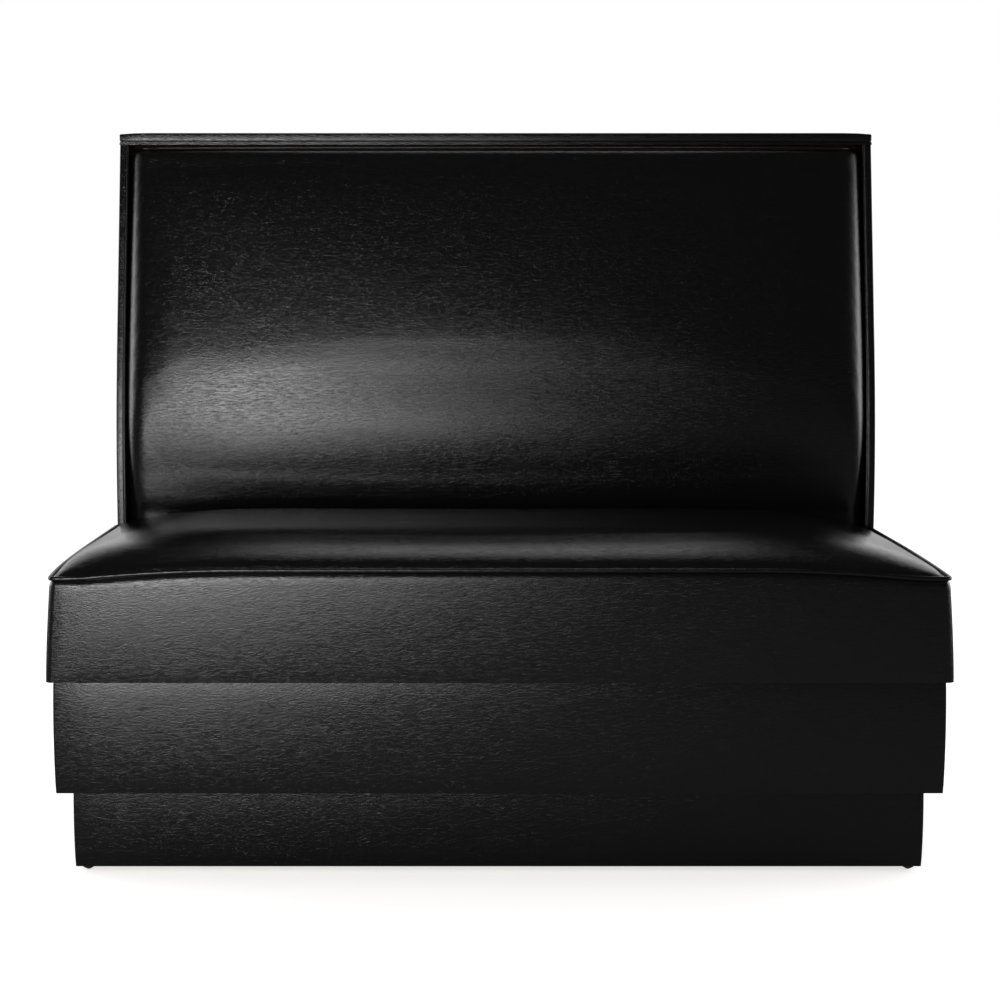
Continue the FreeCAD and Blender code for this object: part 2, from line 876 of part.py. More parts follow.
def seat_frame():
    """Rails, their joining plates and the insulator."""
    outer = "seat_rail_outer"
    inner = f"{outer} - ply"
    board_inner = "box_side_inner"
    zs = ("seat_base", "seat_rail_top")
    pieces = [
        rounded_board("seat_front_rail", "seat_rail_front + ply", "seat_rail_height", zs[0]),
        box(
            "seat_rear_rail",
            (f"0 - ({outer})", "seat_rail_rear - ply", zs[0]),
            (outer, "seat_rail_rear", zs[1]),
        ),
        rounded_board("seat_insulator", "seat_rail_rear", "insulator", "insulator_base"),
    ]
    blanks = {
        "left": box(
            "seat_left_blank",
            (f"0 - ({outer})", "seat_rail_front + ply", zs[0]),
            (f"0 - ({inner})", "seat_rail_rear - ply", zs[1]),
        ),
        "right": box(
            "seat_right_blank",
            (inner, "seat_rail_front + ply", zs[0]),
            (outer, "seat_rail_rear - ply", zs[1]),
        ),
    }
    rail_holes = {"left": [], "right": []}
    plates = []
    screws = []
    upper = "seat_base + plate_leg / 2"
    lower = "seat_base - plate_leg / 2"
    for name, side, y in plate_places():
        hand = "left" if side < 0 else "right"
        blank = padded(
            "plate_blank_" + name,
            "XZ_Plane",
            [
                (f"{side} * ({inner})", "seat_base + plate_leg"),
                (f"{side} * ({inner})", "seat_base - plate_metal"),
                (f"{side} * ({board_inner})", "seat_base - plate_metal"),
                (f"{side} * ({board_inner})", "seat_base - plate_leg"),
                (f"{side} * ({board_inner} - plate_metal)", "seat_base - plate_leg"),
                (f"{side} * ({board_inner} - plate_metal)", "seat_base - plate_metal * 2"),
                (f"{side} * ({inner} - plate_metal)", "seat_base - plate_metal * 2"),
                (f"{side} * ({inner} - plate_metal)", "seat_base + plate_leg"),
            ],
            "plate_width",
            True,
        )
        place(blank, "0", y)
        plate_holes = []
        for level, face, z in (("upper", inner, upper), ("lower", board_inner, lower)):
            face_x = f"{side} * ({face} - plate_metal)"
            key = f"{name}_{level}"
            screws.append(side_screw("plate_screw_" + key, face_x, y, z, side))
            plate_holes.append(
                screw_hole("plate_hole_" + key, face_x, y, z, side, "plate_metal + cut_over * 2")
            )
        plates.append(drilled("plate_" + name, blank, plate_holes))
        rail_holes[hand].append(
            screw_hole(
                "rail_hole_" + name,
                f"{side} * ({inner} - plate_metal)",
                y,
                upper,
                side,
                "screw_bite + cut_over",
            )
        )
    for hand in ("left", "right"):
        pieces.append(drilled(f"seat_{hand}_rail", blanks[hand], rail_holes[hand]))
    pieces.append(gather("seat_joining_plates", plates))
    pieces.append(gather("seat_plate_screws", screws))
    return pieces


# Back

def front_at(z):
    """The panels' front edge at a height, as a size text."""
    return {
        "straight": f"panel_front + bend_set + (({z}) - bend_end) * tan(back_rake)",
        "bend": (
            "panel_front + back_bend_radius - "
            f"sqrt(back_bend_radius * back_bend_radius - (({z}) - bend_start) * (({z}) - bend_start))"
        ),
    }


def back_profile(setback, rear, top="back_top", base="back_base"):
    """The back's side outline: upright, bending and raked front edge, upright rear edge."""
    return [
        (f"panel_front + {setback}", base),
        (f"panel_front + {setback}", "bend_start", "back_bend_radius", -1),
        (f"panel_front + bend_set + {setback}", "bend_end"),
        (f"{front_at(top)['straight']} + {setback}", top),
        (rear, top),
        (rear, base),
    ]


def back_panels():
    """The two side panels and their wrapped covers."""
    pieces = []
    for name, wood_x, cover_x, tool_x in (
        ("left", "0 - panel_outer", "0 - half_width", "0 - panel_outer"),
        ("right", "panel_inner", "panel_inner", "panel_inner - cut_over"),
    ):
        panel = padded(f"back_{name}_panel", "YZ_Plane", back_profile("vinyl", "body_rear"), "panel_ply")
        pieces.append(place(panel, wood_x))
        skin = padded(
            f"{name}_skin", "YZ_Plane", back_profile("0", "body_rear"), "panel_ply + vinyl"
        )
        tool = padded(
            f"{name}_skin_inner",
            "YZ_Plane",
            back_profile("vinyl", "rear + cut_over", "back_top + cut_over", "back_base - cut_over"),
            "panel_ply + cut_over",
        )
        pieces.append(
            cut(f"back_{name}_panel_cover", place(skin, cover_x), place(tool, tool_x))
        )
    return pieces


def back_frame():
    """Rails, ribs, support board and outer back between the panels."""
    half = "panel_inner"
    front = "rib_front"
    pieces = [
        box(
            "outer_back_board",
            (f"0 - {half}", "rib_rear", "back_base"),
            (half, "body_rear", "back_top"),
        ),
        box(
            "outer_back_cover",
            ("0 - half_width", "body_rear", "back_base"),
            ("half_width", "rear", "back_top"),
        ),
    ]
    bottom_blank = box(
        "bottom_rail_blank",
        (f"0 - {half}", front, "back_base"),
        (half, "rib_rear", "back_base + back_rail_height"),
    )
    holes = [
        rod(
            f"rail_hole_{number}",
            "coach_screw_diameter / 2 + fit_gap",
            "back_rail_height + cut_over * 2",
            x,
            "coach_y",
            "back_base - cut_over",
        )
        for number, x in enumerate(spread(COACH_SHARES))
    ]
    pieces.append(drilled("back_bottom_rail", bottom_blank, holes))
    shift = "panel_front"
    top_blank = padded(
        "top_rail_blank",
        "YZ_Plane",
        [
            (f"{front_at('top_rail_base')['straight']} - {shift} + {front}", "top_rail_base"),
            (f"{front_at('back_top')['straight']} - {shift} + {front}", "back_top"),
            ("rib_rear", "back_top"),
            ("rib_rear", "top_rail_base"),
        ],
        "panel_inner * 2",
        True,
    )
    pieces.append(drilled("back_top_rail", top_blank, tenons("top_rail_slot")))
    for name, side in (("left", -1), ("right", 1)):
        rib = padded(
            f"back_{name}_rib",
            "YZ_Plane",
            back_profile(
                "support_setback + back_support", "rib_rear", "top_rail_base",
                "back_base + back_rail_height",
            ),
            "ply",
            True,
        )
        pieces.append(place(rib, f"{side} * rib_place"))
    bays = []
    for name, low, high in (
        ("left", f"0 - {half}", "0 - rib_place - ply / 2"),
        ("centre", "ply / 2 - rib_place", "rib_place - ply / 2"),
        ("right", "rib_place + ply / 2", half),
    ):
        rail = padded(
            "middle_rail_" + name,
            "YZ_Plane",
            [
                (f"{front_at('middle_rail_base')['bend']} - {shift} + {front}", "middle_rail_base"),
                (f"{front_at('middle_rail_top')['bend']} - {shift} + {front}", "middle_rail_top"),
                ("rib_rear", "middle_rail_top"),
                ("rib_rear", "middle_rail_base"),
            ],
            f"({high}) - ({low})",
        )
        bays.append(place(rail, low))
    pieces.append(gather("back_middle_rails", bays))
    board = padded(
        "support_blank",
        "YZ_Plane",
        back_profile("support_setback", "rib_rear"),
        "panel_inner * 2",
        True,
    )
    behind = padded(
        "support_behind",
        "YZ_Plane",
        back_profile(
            "support_setback + back_support", "rear + cut_over", "back_top + cut_over",
            "back_base - cut_over",
        ),
        "half_width * 2",
        True,
    )
    pieces.append(cut("back_support_board", board, behind))
    return pieces


def front_number(z):
    """The panels' front edge at a height, as a number."""
    start = size("bend_start")
    end = size("bend_end")
    if z <= start:
        return size("panel_front")
    if z <= end:
        radius = size("back_bend_radius")
        return size("panel_front") + radius - math.sqrt(radius**2 - (z - start) ** 2)
    return size("panel_front + bend_set") + (z - end) * math.tan(math.radians(size("back_rake")))


def back_section(station_share, fill_share, inset, rear_reach):
    """The back cushion's outline at one height, as a closed wire."""
    base = size("cushion_base") + inset
    top = size("cushion_top") - inset
    z = base + (top - base) * station_share
    half = size("cushion_half") - inset
    roll = size("back_roll_radius")
    line = front_number(z)
    edge = line + size("back_seat_gap") * (1 - fill_share) - size("back_proud") * fill_share + inset
    crown = size("back_crown") * fill_share + size("fit_gap") * (1 - fill_share)
    rear = line + rear_reach
    eighth = roll * (1 - math.sqrt(0.5))
    shape = []
    for side in (1, -1):
        shape.append(
            [
                FreeCAD.Vector(side * half, rear, z),
                FreeCAD.Vector(side * half, edge + roll, z),
                FreeCAD.Vector(side * (half - eighth), edge + eighth, z),
                FreeCAD.Vector(side * (half - roll), edge, z),
            ]
        )
    right, left = shape
    return Part.Wire(
        [
            line_edge(right[0], right[1]),
            arc_edge(right[1], right[2], right[3]),
            arc_edge(right[3], FreeCAD.Vector(0, edge - crown, z), left[3]),
            arc_edge(left[3], left[2], left[1]),
            line_edge(left[1], left[0]),
            line_edge(left[0], right[0]),
        ]
    )


def back_form(inset, rear_reach):
    """The back cushion's crowned form, drawn in all round by an inset."""
    stations = [(0.0, 0.0)]
    stations += swell(BACK_FLUSH_SHARE, BACK_FULL_SHARE, BACK_TOP_FILL_SHARE, BACK_FALL_STEPS)
    wires = [back_section(station, fill, inset, rear_reach) for station, fill in stations]
    return Part.makeLoft(wires, True, True)


def profile_path(x, setback, base, top):
    """A line that follows the panels' front edge at one place across the bench."""
    start = size("bend_start")
    end = size("bend_end")
    points = [
        FreeCAD.Vector(x, front_number(z) + setback, z) for z in (base, start, (start + end) / 2, end, top)
    ]
    return Part.Wire(
        [
            line_edge(points[0], points[1]),
            arc_edge(points[1], points[2], points[3]),
            line_edge(points[3], points[4]),
        ]
    )


def back_soft():
    """Foam, cover and welts of the back."""
    outer = back_form(0.0, size("back_foam - fit_gap * 2"))
    inner = back_form(size("vinyl"), size("back_foam + cut_over"))
    foam = back_form(size("vinyl + fit_gap"), size("back_foam - fit_gap * 2"))
    radius = size("back_welt_diameter") / 2
    pieces = [solid("back_foam", foam), solid("back_cover", outer.cut(inner))]
    for name, side in (("left", -1), ("right", 1)):
        path = profile_path(
            side * (size("panel_inner") - radius),
            radius,
            size("back_base"),
            size("back_top - fit_gap * 2"),
        )
        welt = welt_along(path, radius, FreeCAD.Vector(0, 0, 1), FreeCAD.Vector(0, 1, 0))
        pieces.append(solid(f"back_{name}_welt", welt))
    top_radius = size("top_welt_diameter") / 2
    z = size("cushion_top + running_gap") + top_radius
    fill = BACK_TOP_FILL_SHARE
    y = front_number(z) - size("back_proud") * fill + top_radius
    reach = size("cushion_half - back_roll_radius")
    path = Part.Wire(
        [
            arc_edge(
                FreeCAD.Vector(-reach, y, z),
                FreeCAD.Vector(0, y - size("back_crown") * fill, z),
                FreeCAD.Vector(reach, y, z),
            )
        ]
    )
    ahead = path.Edges[0].tangentAt(path.Edges[0].FirstParameter)
    top_welt = welt_along(path, top_radius, ahead, FreeCAD.Vector(0, 0, 1))
    pieces.append(solid("back_top_welt", top_welt))
    return pieces


# Cap

def cap_outline(skin):
    """The cap's front outline, its top easing down at both ends, inside a skin of this thickness."""
    half = f"half_width - {skin}"
    base = f"cap_base + {skin}"
    top = f"cap_top - {skin}"
    radius = "(cap_ease_run * cap_ease_run + cap_ease_drop * cap_ease_drop) / (2 * cap_ease_drop)"
    return [
        (f"0 - ({half})", base),
        (half, base),
        (half, f"{top} - cap_ease_drop", radius, 1),
        (f"{half} - cap_ease_run", top),
        (f"cap_ease_run - ({half})", top, radius, 1),
        (f"0 - ({half})", f"{top} - cap_ease_drop"),
    ]


def tenons(name):
    """Flat loose tenons, or the slots that hold them, between the back's top rail and the cap."""
    low = "cap_base + vinyl + tenon_bite - tenon_height"
    return [
        box(
            f"{name}_{number}",
            (f"{x} - tenon_length / 2", "tenon_y - tenon_thickness / 2", low),
            (f"{x} + tenon_length / 2", "tenon_y + tenon_thickness / 2", f"{low} + tenon_height"),
        )
        for number, x in enumerate(spread(TENON_SHARES))
    ]


def cap():
    """Cap board, its cover, the strip below it and the loose tenons."""
    blank = place(
        padded("cap_blank", "XZ_Plane", cap_outline("vinyl"), "cap_depth - vinyl * 2"), y="body_rear"
    )
    skin = place(padded("cap_skin", "XZ_Plane", cap_outline("0"), "cap_depth"), y="rear")
    core = place(
        padded("cap_core", "XZ_Plane", cap_outline("vinyl"), "cap_depth - vinyl * 2"), y="body_rear"
    )
    opening = box(
        "cap_opening",
        ("cap_wrap_return - half_width", "cap_front + cap_wrap_return", "cap_base - cut_over"),
        ("half_width - cap_wrap_return", "rear - cap_wrap_return", "cap_base + cut_over"),
    )
    strip = padded(
        "strip_blank",
        "YZ_Plane",
        [
            ("cap_front", "back_top"),
            ("cap_front", "back_top + cap_strip_lip"),
            ("cap_front + cap_strip_groove", "back_top + cap_strip_lip"),
            ("cap_front + cap_strip_groove", "cap_base"),
            ("rear", "cap_base"),
            ("rear", "back_top"),
        ],
        "half_width * 2",
        True,
    )
    return [
        drilled("cap_board", blank, tenons("cap_slot")),
        cut("cap_cover", skin, fuse("cap_inside", [core, opening])),
        drilled("cap_strip", strip, tenons("strip_slot")),
        gather("cap_tenons", tenons("cap_tenon")),
    ]


def coach_screws():
    """The screws that hold the back's bottom rail down on the seat box."""
    screws = []
    for number, x in enumerate(spread(COACH_SHARES)):
        head = document.addObject("Part::Prism", f"coach_head_{number}")
        head.Polygon = 6
        head.setExpression("Circumradius", words("coach_head_diameter / 2"))
        head.setExpression("Height", words("coach_head_height"))
        place(head, x, "coach_y", "back_base + back_rail_height")
        shank = rod(
            f"coach_shank_{number}",
            "coach_screw_diameter / 2",
            "back_rail_height + coach_screw_bite + coach_head_height / 2",
            x,
            "coach_y",
            "back_base - coach_screw_bite",
        )
        screws.append(fuse(f"coach_screw_{number}", [head, shank]))
    return gather("back_coach_screws", screws)


def check(pieces):
    """Every object is up to date and every piece is a sound solid."""
    for item in document.Objects:
        if "Invalid" in item.State or "Error" in item.State:
            raise RuntimeError(f"{item.Label} did not build: {item.State}")
    for piece in pieces:
        if piece.Shape.isNull() or not piece.Shape.isValid() or not piece.Shape.Solids:
            raise RuntimeError(f"{piece.Label} has no sound shape")


def main():
    pieces = plinth() + glides() + seat_box() + seat_frame()
    pieces += [springs(), spring_clips()] + seat_soft()
    pieces += back_panels() + back_frame() + back_soft() + [coach_screws()] + cap()
    document.recompute()
    check(pieces)
    os.makedirs("parts", exist_ok=True)
    for piece in pieces:
        piece.Shape.exportStep("parts/" + piece.Label + ".step")
    print(len(pieces), "nodes")


main()
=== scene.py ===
# Looks of a restaurant booth: black vinyl on a padded seat and back, a boxed base and a flat cap
import json
import math
import bmesh
import bpy
import numpy
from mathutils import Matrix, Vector


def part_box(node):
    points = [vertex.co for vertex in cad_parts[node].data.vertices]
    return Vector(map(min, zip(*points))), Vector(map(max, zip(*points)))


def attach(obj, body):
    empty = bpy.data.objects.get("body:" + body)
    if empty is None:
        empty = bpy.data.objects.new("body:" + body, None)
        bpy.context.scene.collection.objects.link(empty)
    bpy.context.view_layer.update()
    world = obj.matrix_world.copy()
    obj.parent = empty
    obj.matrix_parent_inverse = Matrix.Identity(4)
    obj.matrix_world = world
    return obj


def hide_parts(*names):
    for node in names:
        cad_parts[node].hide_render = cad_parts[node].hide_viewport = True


bl_info = {
    "name": "Restaurant Booth Looks",
    "version": (1, 0, 0),
    "blender": (4, 5, 0),
    "location": "3D View > Sidebar > Booth",
    "description": "Dresses a plain-back restaurant booth in vinyl, wood, foam and steel",
    "category": "Object",
}

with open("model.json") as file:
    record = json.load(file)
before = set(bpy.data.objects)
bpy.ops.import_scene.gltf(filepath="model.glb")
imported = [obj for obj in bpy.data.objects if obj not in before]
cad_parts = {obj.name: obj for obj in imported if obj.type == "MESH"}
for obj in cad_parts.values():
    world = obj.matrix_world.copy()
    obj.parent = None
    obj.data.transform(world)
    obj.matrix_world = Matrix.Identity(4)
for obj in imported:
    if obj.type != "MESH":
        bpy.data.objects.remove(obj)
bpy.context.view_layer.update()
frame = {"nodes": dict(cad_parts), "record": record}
BODY = "booth"
HALF_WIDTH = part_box("outer_back_cover")[1][0]
FRONT = -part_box("outer_back_cover")[1][1]  # the bench is centred front to back
BOXING_LOW, BOXING_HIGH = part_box("seat_boxing")
BACK_LOW, BACK_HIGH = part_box("back_cover")
PANEL_LOW, PANEL_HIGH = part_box("back_left_panel_cover")
BOX_LOW, BOX_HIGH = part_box("box_cover")
PLINTH_LOW, PLINTH_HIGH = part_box("plinth_cover")
CAP_LOW, CAP_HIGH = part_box("cap_cover")
NEAR = 0.001  # slack for picking the vertices, edges and faces that lie at a place
FLAT = 0.0005  # the same, for a face at the top or bottom of a piece
TUCK = 0.55  # share of the seat welt's thickness by which the cushion stands inside it
CLOTH_FRAMES = 20
CLOTH_EVENINGS = 60  # rounds in which the swell of a cover is evened out


# Sizes and colours that a user would change

class SeatSizes(bpy.types.PropertyGroup):
    """Sizes of the seat cushion and its boxing."""
    side_drawn: bpy.props.FloatProperty(
        name="Side drawn in", description="How far the boxing's sides lean in by the welt",
        default=0.009, unit="LENGTH")
    corner_round: bpy.props.FloatProperty(
        name="Corner round", description="Radius of the padded upright corners",
        default=0.010, unit="LENGTH")
    side_pad: bpy.props.FloatProperty(
        name="Side padding", description="How far the padded sides stand out",
        default=0.0024, unit="LENGTH")
    spread_left: bpy.props.FloatProperty(
        name="Left side spread", description="How far the left side's seam settles outwards",
        default=0.009, unit="LENGTH")
    spread_right: bpy.props.FloatProperty(
        name="Right side spread", description="How far the right side's seam settles outwards",
        default=0.004, unit="LENGTH")
    lift_left: bpy.props.FloatProperty(
        name="Left side lift", description="How far the left seam climbs behind the corner",
        default=0.0035, unit="LENGTH")
    lift_right: bpy.props.FloatProperty(
        name="Right side lift", description="How far the right seam climbs behind the corner",
        default=0.001, unit="LENGTH")
    boxing_bulge: bpy.props.FloatProperty(
        name="Boxing bulge", description="How far the boxing swells between its edges",
        default=0.0022, unit="LENGTH")
    seam_end: bpy.props.FloatProperty(
        name="Seam at the ends", description="Height of the welted seam at the ends",
        default=0.4423, unit="LENGTH")
    seam_middle: bpy.props.FloatProperty(
        name="Seam in the middle", description="Height of the welted seam in the middle",
        default=0.4534, unit="LENGTH")
    seam_rise_run: bpy.props.FloatProperty(
        name="Seam rise run", description="Length at each end over which the seam climbs",
        default=0.240, unit="LENGTH")
    roll_run: bpy.props.FloatProperty(
        name="Front roll run", description="Depth of the rolled front edge",
        default=0.085, unit="LENGTH")
    swell_crest: bpy.props.FloatProperty(
        name="Swell at the crest", description="Height of the crest over the seam, behind the roll",
        default=0.045, unit="LENGTH")
    swell_rear: bpy.props.FloatProperty(
        name="Swell at the rear", description="Height of the cushion over its seam at the back",
        default=0.0245, unit="LENGTH")
    welt: bpy.props.FloatProperty(
        name="Welt", description="Thickness of the piped welt", default=0.0062, unit="LENGTH")
    shoulder_left: bpy.props.FloatProperty(
        name="Left shoulder", description="Softness of the left shoulder",
        default=0.026, unit="LENGTH")
    shoulder_right: bpy.props.FloatProperty(
        name="Right shoulder", description="Softness of the right shoulder",
        default=0.050, unit="LENGTH")
    puff: bpy.props.FloatProperty(
        name="Puff", description="How far the simulated cover may swell", default=0.005,
        unit="LENGTH")


class BackSizes(bpy.types.PropertyGroup):
    """Sizes of the back cushion and its panels."""
    bend_start: bpy.props.FloatProperty(
        name="Bend start", description="Height where the panels start to lean back",
        default=0.480, unit="LENGTH")
    bend_radius: bpy.props.FloatProperty(
        name="Bend radius", description="Radius of the panels' bend", default=1.45, unit="LENGTH")
    rake: bpy.props.FloatProperty(
        name="Rake", description="Lean of the upper back", default=math.radians(9.8),
        unit="ROTATION")
    crown: bpy.props.FloatProperty(
        name="Crown", description="How far the middle stands proud of the sides",
        default=0.014, unit="LENGTH")
    proud: bpy.props.FloatProperty(
        name="Proud", description="How far the cushion's sides stand proud of the panels",
        default=0.019, unit="LENGTH")
    side_roll: bpy.props.FloatProperty(
        name="Side roll", description="Radius of the rolled sides", default=0.032, unit="LENGTH")
    low_roll: bpy.props.FloatProperty(
        name="Lower roll", description="Height of the roll over the seat", default=0.172,
        unit="LENGTH")
    side_welt: bpy.props.FloatProperty(
        name="Side welt", description="Thickness of the side welts", default=0.0042,
        unit="LENGTH")
    top_welt: bpy.props.FloatProperty(
        name="Top welt", description="Thickness of the top welt", default=0.003, unit="LENGTH")
    puff: bpy.props.FloatProperty(
        name="Puff", description="How far the simulated cover may swell", default=0.005,
        unit="LENGTH")


class Finishes(bpy.types.PropertyGroup):
    """Colours, as sRGB hex, and the real sizes of the patterns."""
    vinyl: bpy.props.StringProperty(
        name="Vinyl", description="Black of the upholstery vinyl", default="#080809")
    vinyl_worn: bpy.props.StringProperty(
        name="Vinyl, rubbed", description="Black where the grain is rubbed", default="#0e0e0f")
    plywood: bpy.props.StringProperty(
        name="Plywood", description="Pale of the birch plywood", default="#cdae80")
    plywood_dark: bpy.props.StringProperty(
        name="Plywood figure", description="Dark of the birch figure", default="#a9855a")
    timber: bpy.props.StringProperty(
        name="Timber", description="Tan of the planed pine blocks", default="#b98d5c")
    hardboard: bpy.props.StringProperty(
        name="Hardboard", description="Brown of the pressed board", default="#6e5138")
    foam: bpy.props.StringProperty(
        name="Foam", description="Cream of the seat foam", default="#d9cfa4")
    felt: bpy.props.StringProperty(
        name="Felt", description="Grey of the fibre pad", default="#6d6a64")
    zinc: bpy.props.StringProperty(
        name="Zinc", description="Zinc plate", default="#b4b7ba")
    nylon: bpy.props.StringProperty(
        name="Nylon", description="Black moulded nylon", default="#1d1d1e")
    crease_length: bpy.props.FloatProperty(
        name="Crease length", description="Length of a crease in the vinyl's grain",
        default=0.011, unit="LENGTH")
    crease_width: bpy.props.FloatProperty(
        name="Crease width", description="Width of a crease in the vinyl's grain",
        default=0.0032, unit="LENGTH")
    pebble: bpy.props.FloatProperty(
        name="Pebble", description="Width of one pebble of the embossed grain",
        default=0.0016, unit="LENGTH")


class StudioSetup(bpy.types.PropertyGroup):
    """Camera and light."""
    camera_x: bpy.props.FloatProperty(
        name="Camera across", description="Camera's place across the bench", default=-0.0345,
        unit="LENGTH")
    camera_distance: bpy.props.FloatProperty(
        name="Camera distance", description="Distance from the seat's front", default=2.1986,
        unit="LENGTH")
    camera_height: bpy.props.FloatProperty(
        name="Camera height", description="Height over the floor", default=0.836, unit="LENGTH")
    camera_pitch: bpy.props.FloatProperty(
        name="Camera pitch", description="How far the camera looks down",
        default=math.radians(5.55), unit="ROTATION")
    ambient: bpy.props.FloatProperty(
        name="Ambient", description="Soft light from all round", default=0.6, min=0.0)


# Small tools

def sizes(name):
    """The scene's property group of this name."""
    return getattr(bpy.context.scene, name)


def linear(hex_text):
    """An sRGB hex colour as the linear values that shaders take."""
    channels = [int(hex_text[place:place + 2], 16) / 255 for place in (1, 3, 5)]
    return tuple(
        channel / 12.92 if channel <= 0.04045 else ((channel + 0.055) / 1.055) ** 2.4
        for channel in channels
    ) + (1.0,)


def add_node(tree, kind, settings=None, inputs=None):
    """Add a node with its settings and its inputs, each a value or another node's output."""
    item = tree.nodes.new(kind)
    for key, value in (settings or {}).items():
        setattr(item, key, value)
    for key, value in (inputs or {}).items():
        if isinstance(value, bpy.types.NodeSocket):
            tree.links.new(value, item.inputs[key])
        else:
            item.inputs[key].default_value = value
    return item


def start_material(name):
    """A new node material with nothing in it."""
    material = bpy.data.materials.new(name)
    material.use_nodes = True
    material.node_tree.nodes.clear()
    return material, material.node_tree


def finish_material(material, shader):
    """Plug the shader into the material's surface."""
    tree = material.node_tree
    add_node(tree, "ShaderNodeOutputMaterial", inputs={"Surface": shader.outputs[0]})
    return material


def place_in(tree, scale):
    """The object's own coordinates, scaled along its axes."""
    spot = add_node(tree, "ShaderNodeTexCoord")
    return add_node(
        tree, "ShaderNodeMapping", inputs={"Vector": spot.outputs["Object"], "Scale": scale}
    ).outputs[0]


def blend_colours(tree, share, first, second):
    """A mix of two colours by a share socket."""
    return add_node(
        tree, "ShaderNodeMix", {"data_type": "RGBA"}, {"Factor": share, 6: first, 7: second}
    ).outputs[2]


def spread_over(tree, value, low, high, to_low, to_high):
    """A value moved from one range to another."""
    return add_node(
        tree, "ShaderNodeMapRange",
        inputs={"Value": value, "From Min": low, "From Max": high,
                "To Min": to_low, "To Max": to_high},
    ).outputs[0]


def maths(tree, operation, first, second, third=None):
    """The result of a maths node on values or sockets."""
    values = {0: first, 1: second}
    if third is not None:
        values[2] = third
    return add_node(tree, "ShaderNodeMath", {"operation": operation}, values).outputs[0]


# Finishes

def upholstery_vinyl():
    """Expanded vinyl on a knit backing, embossed with a long crease grain: a soft satin black."""
    finish = sizes("booth_finishes")
    material, tree = start_material("black_upholstery_vinyl")
    along = 1 / finish.crease_length
    across = 1 / finish.crease_width
    creases = add_node(
        tree, "ShaderNodeTexNoise",
        inputs={"Vector": place_in(tree, (along, across, across)), "Scale": 1.0, "Detail": 3.0,
                "Roughness": 0.6, "Distortion": 2.0},
    ).outputs[0]
    # The embossed grain: small stretched cells with narrow valleys, bent by a finer noise
    fine = 1 / finish.pebble
    spot = place_in(tree, (fine * 0.5, fine, fine))
    bend = add_node(
        tree, "ShaderNodeTexNoise", inputs={"Vector": spot, "Scale": 0.6, "Detail": 2.0},
    ).outputs[1]
    bent = add_node(tree, "ShaderNodeVectorMath", {"operation": "MULTIPLY_ADD"},
                    {0: bend, 1: (1.6, 1.6, 1.6), 2: spot})
    valleys = add_node(
        tree, "ShaderNodeTexVoronoi", {"feature": "DISTANCE_TO_EDGE"},
        {"Vector": bent.outputs[0], "Scale": 1.0},
    ).outputs["Distance"]
    pebbles = spread_over(tree, valleys, 0.0, 0.22, 0.0, 1.0)
    # Broad soft unevenness of hand-stretched cover over foam, about a hand's breadth
    stretch = add_node(
        tree, "ShaderNodeTexNoise",
        inputs={"Vector": place_in(tree, (7.0, 12.0, 12.0)), "Scale": 1.0, "Detail": 2.0},
    ).outputs[0]
    low = add_node(tree, "ShaderNodeBump", inputs={"Strength": 0.5, "Distance": 0.0012,
                                                   "Height": stretch})
    middle = add_node(tree, "ShaderNodeBump", inputs={"Strength": 0.8, "Distance": 0.00044,
                                                      "Height": creases,
                                                      "Normal": low.outputs[0]})
    top = add_node(tree, "ShaderNodeBump", inputs={"Strength": 0.3, "Distance": 0.00004,
                                                   "Height": pebbles,
                                                   "Normal": middle.outputs[0]})
    colour = blend_colours(tree, spread_over(tree, creases, 0.35, 0.75, 0.0, 1.0),
                           linear(finish.vinyl), linear(finish.vinyl_worn))
    shader = add_node(
        tree, "ShaderNodeBsdfPrincipled",
        inputs={"Base Color": colour,
                "Roughness": spread_over(tree, creases, 0.3, 0.7, 0.17, 0.22),
                "IOR": 1.5, "Normal": top.outputs[0]},
    )
    return finish_material(material, shader)


def birch_plywood():
    """Rotary-cut birch plywood, sanded: pale broad figure along the bench."""
    finish = sizes("booth_finishes")
    material, tree = start_material("birch_plywood")
    figure = add_node(
        tree, "ShaderNodeTexNoise",
        inputs={"Vector": place_in(tree, (3.0, 42.0, 42.0)), "Scale": 1.0, "Detail": 5.0,
                "Roughness": 0.6, "Distortion": 1.2},
    ).outputs[0]
    veneer = add_node(
        tree, "ShaderNodeTexWave", {"bands_direction": "Z"},
        {"Vector": place_in(tree, (6.0, 6.0, 300.0)), "Scale": 0.5, "Distortion": 1.5},
    ).outputs[1]
    shares = maths(tree, "MULTIPLY_ADD", veneer, 0.25, figure)
    colour = blend_colours(tree, spread_over(tree, shares, 0.4, 0.85, 0.0, 1.0),
                           linear(finish.plywood), linear(finish.plywood_dark))
    bump = add_node(tree, "ShaderNodeBump", inputs={"Strength": 0.3, "Distance": 0.0003,
                                                    "Height": figure})
    shader = add_node(
        tree, "ShaderNodeBsdfPrincipled",
        inputs={"Base Color": colour, "Roughness": 0.62, "IOR": 1.5, "Normal": bump.outputs[0]},
    )
    return finish_material(material, shader)


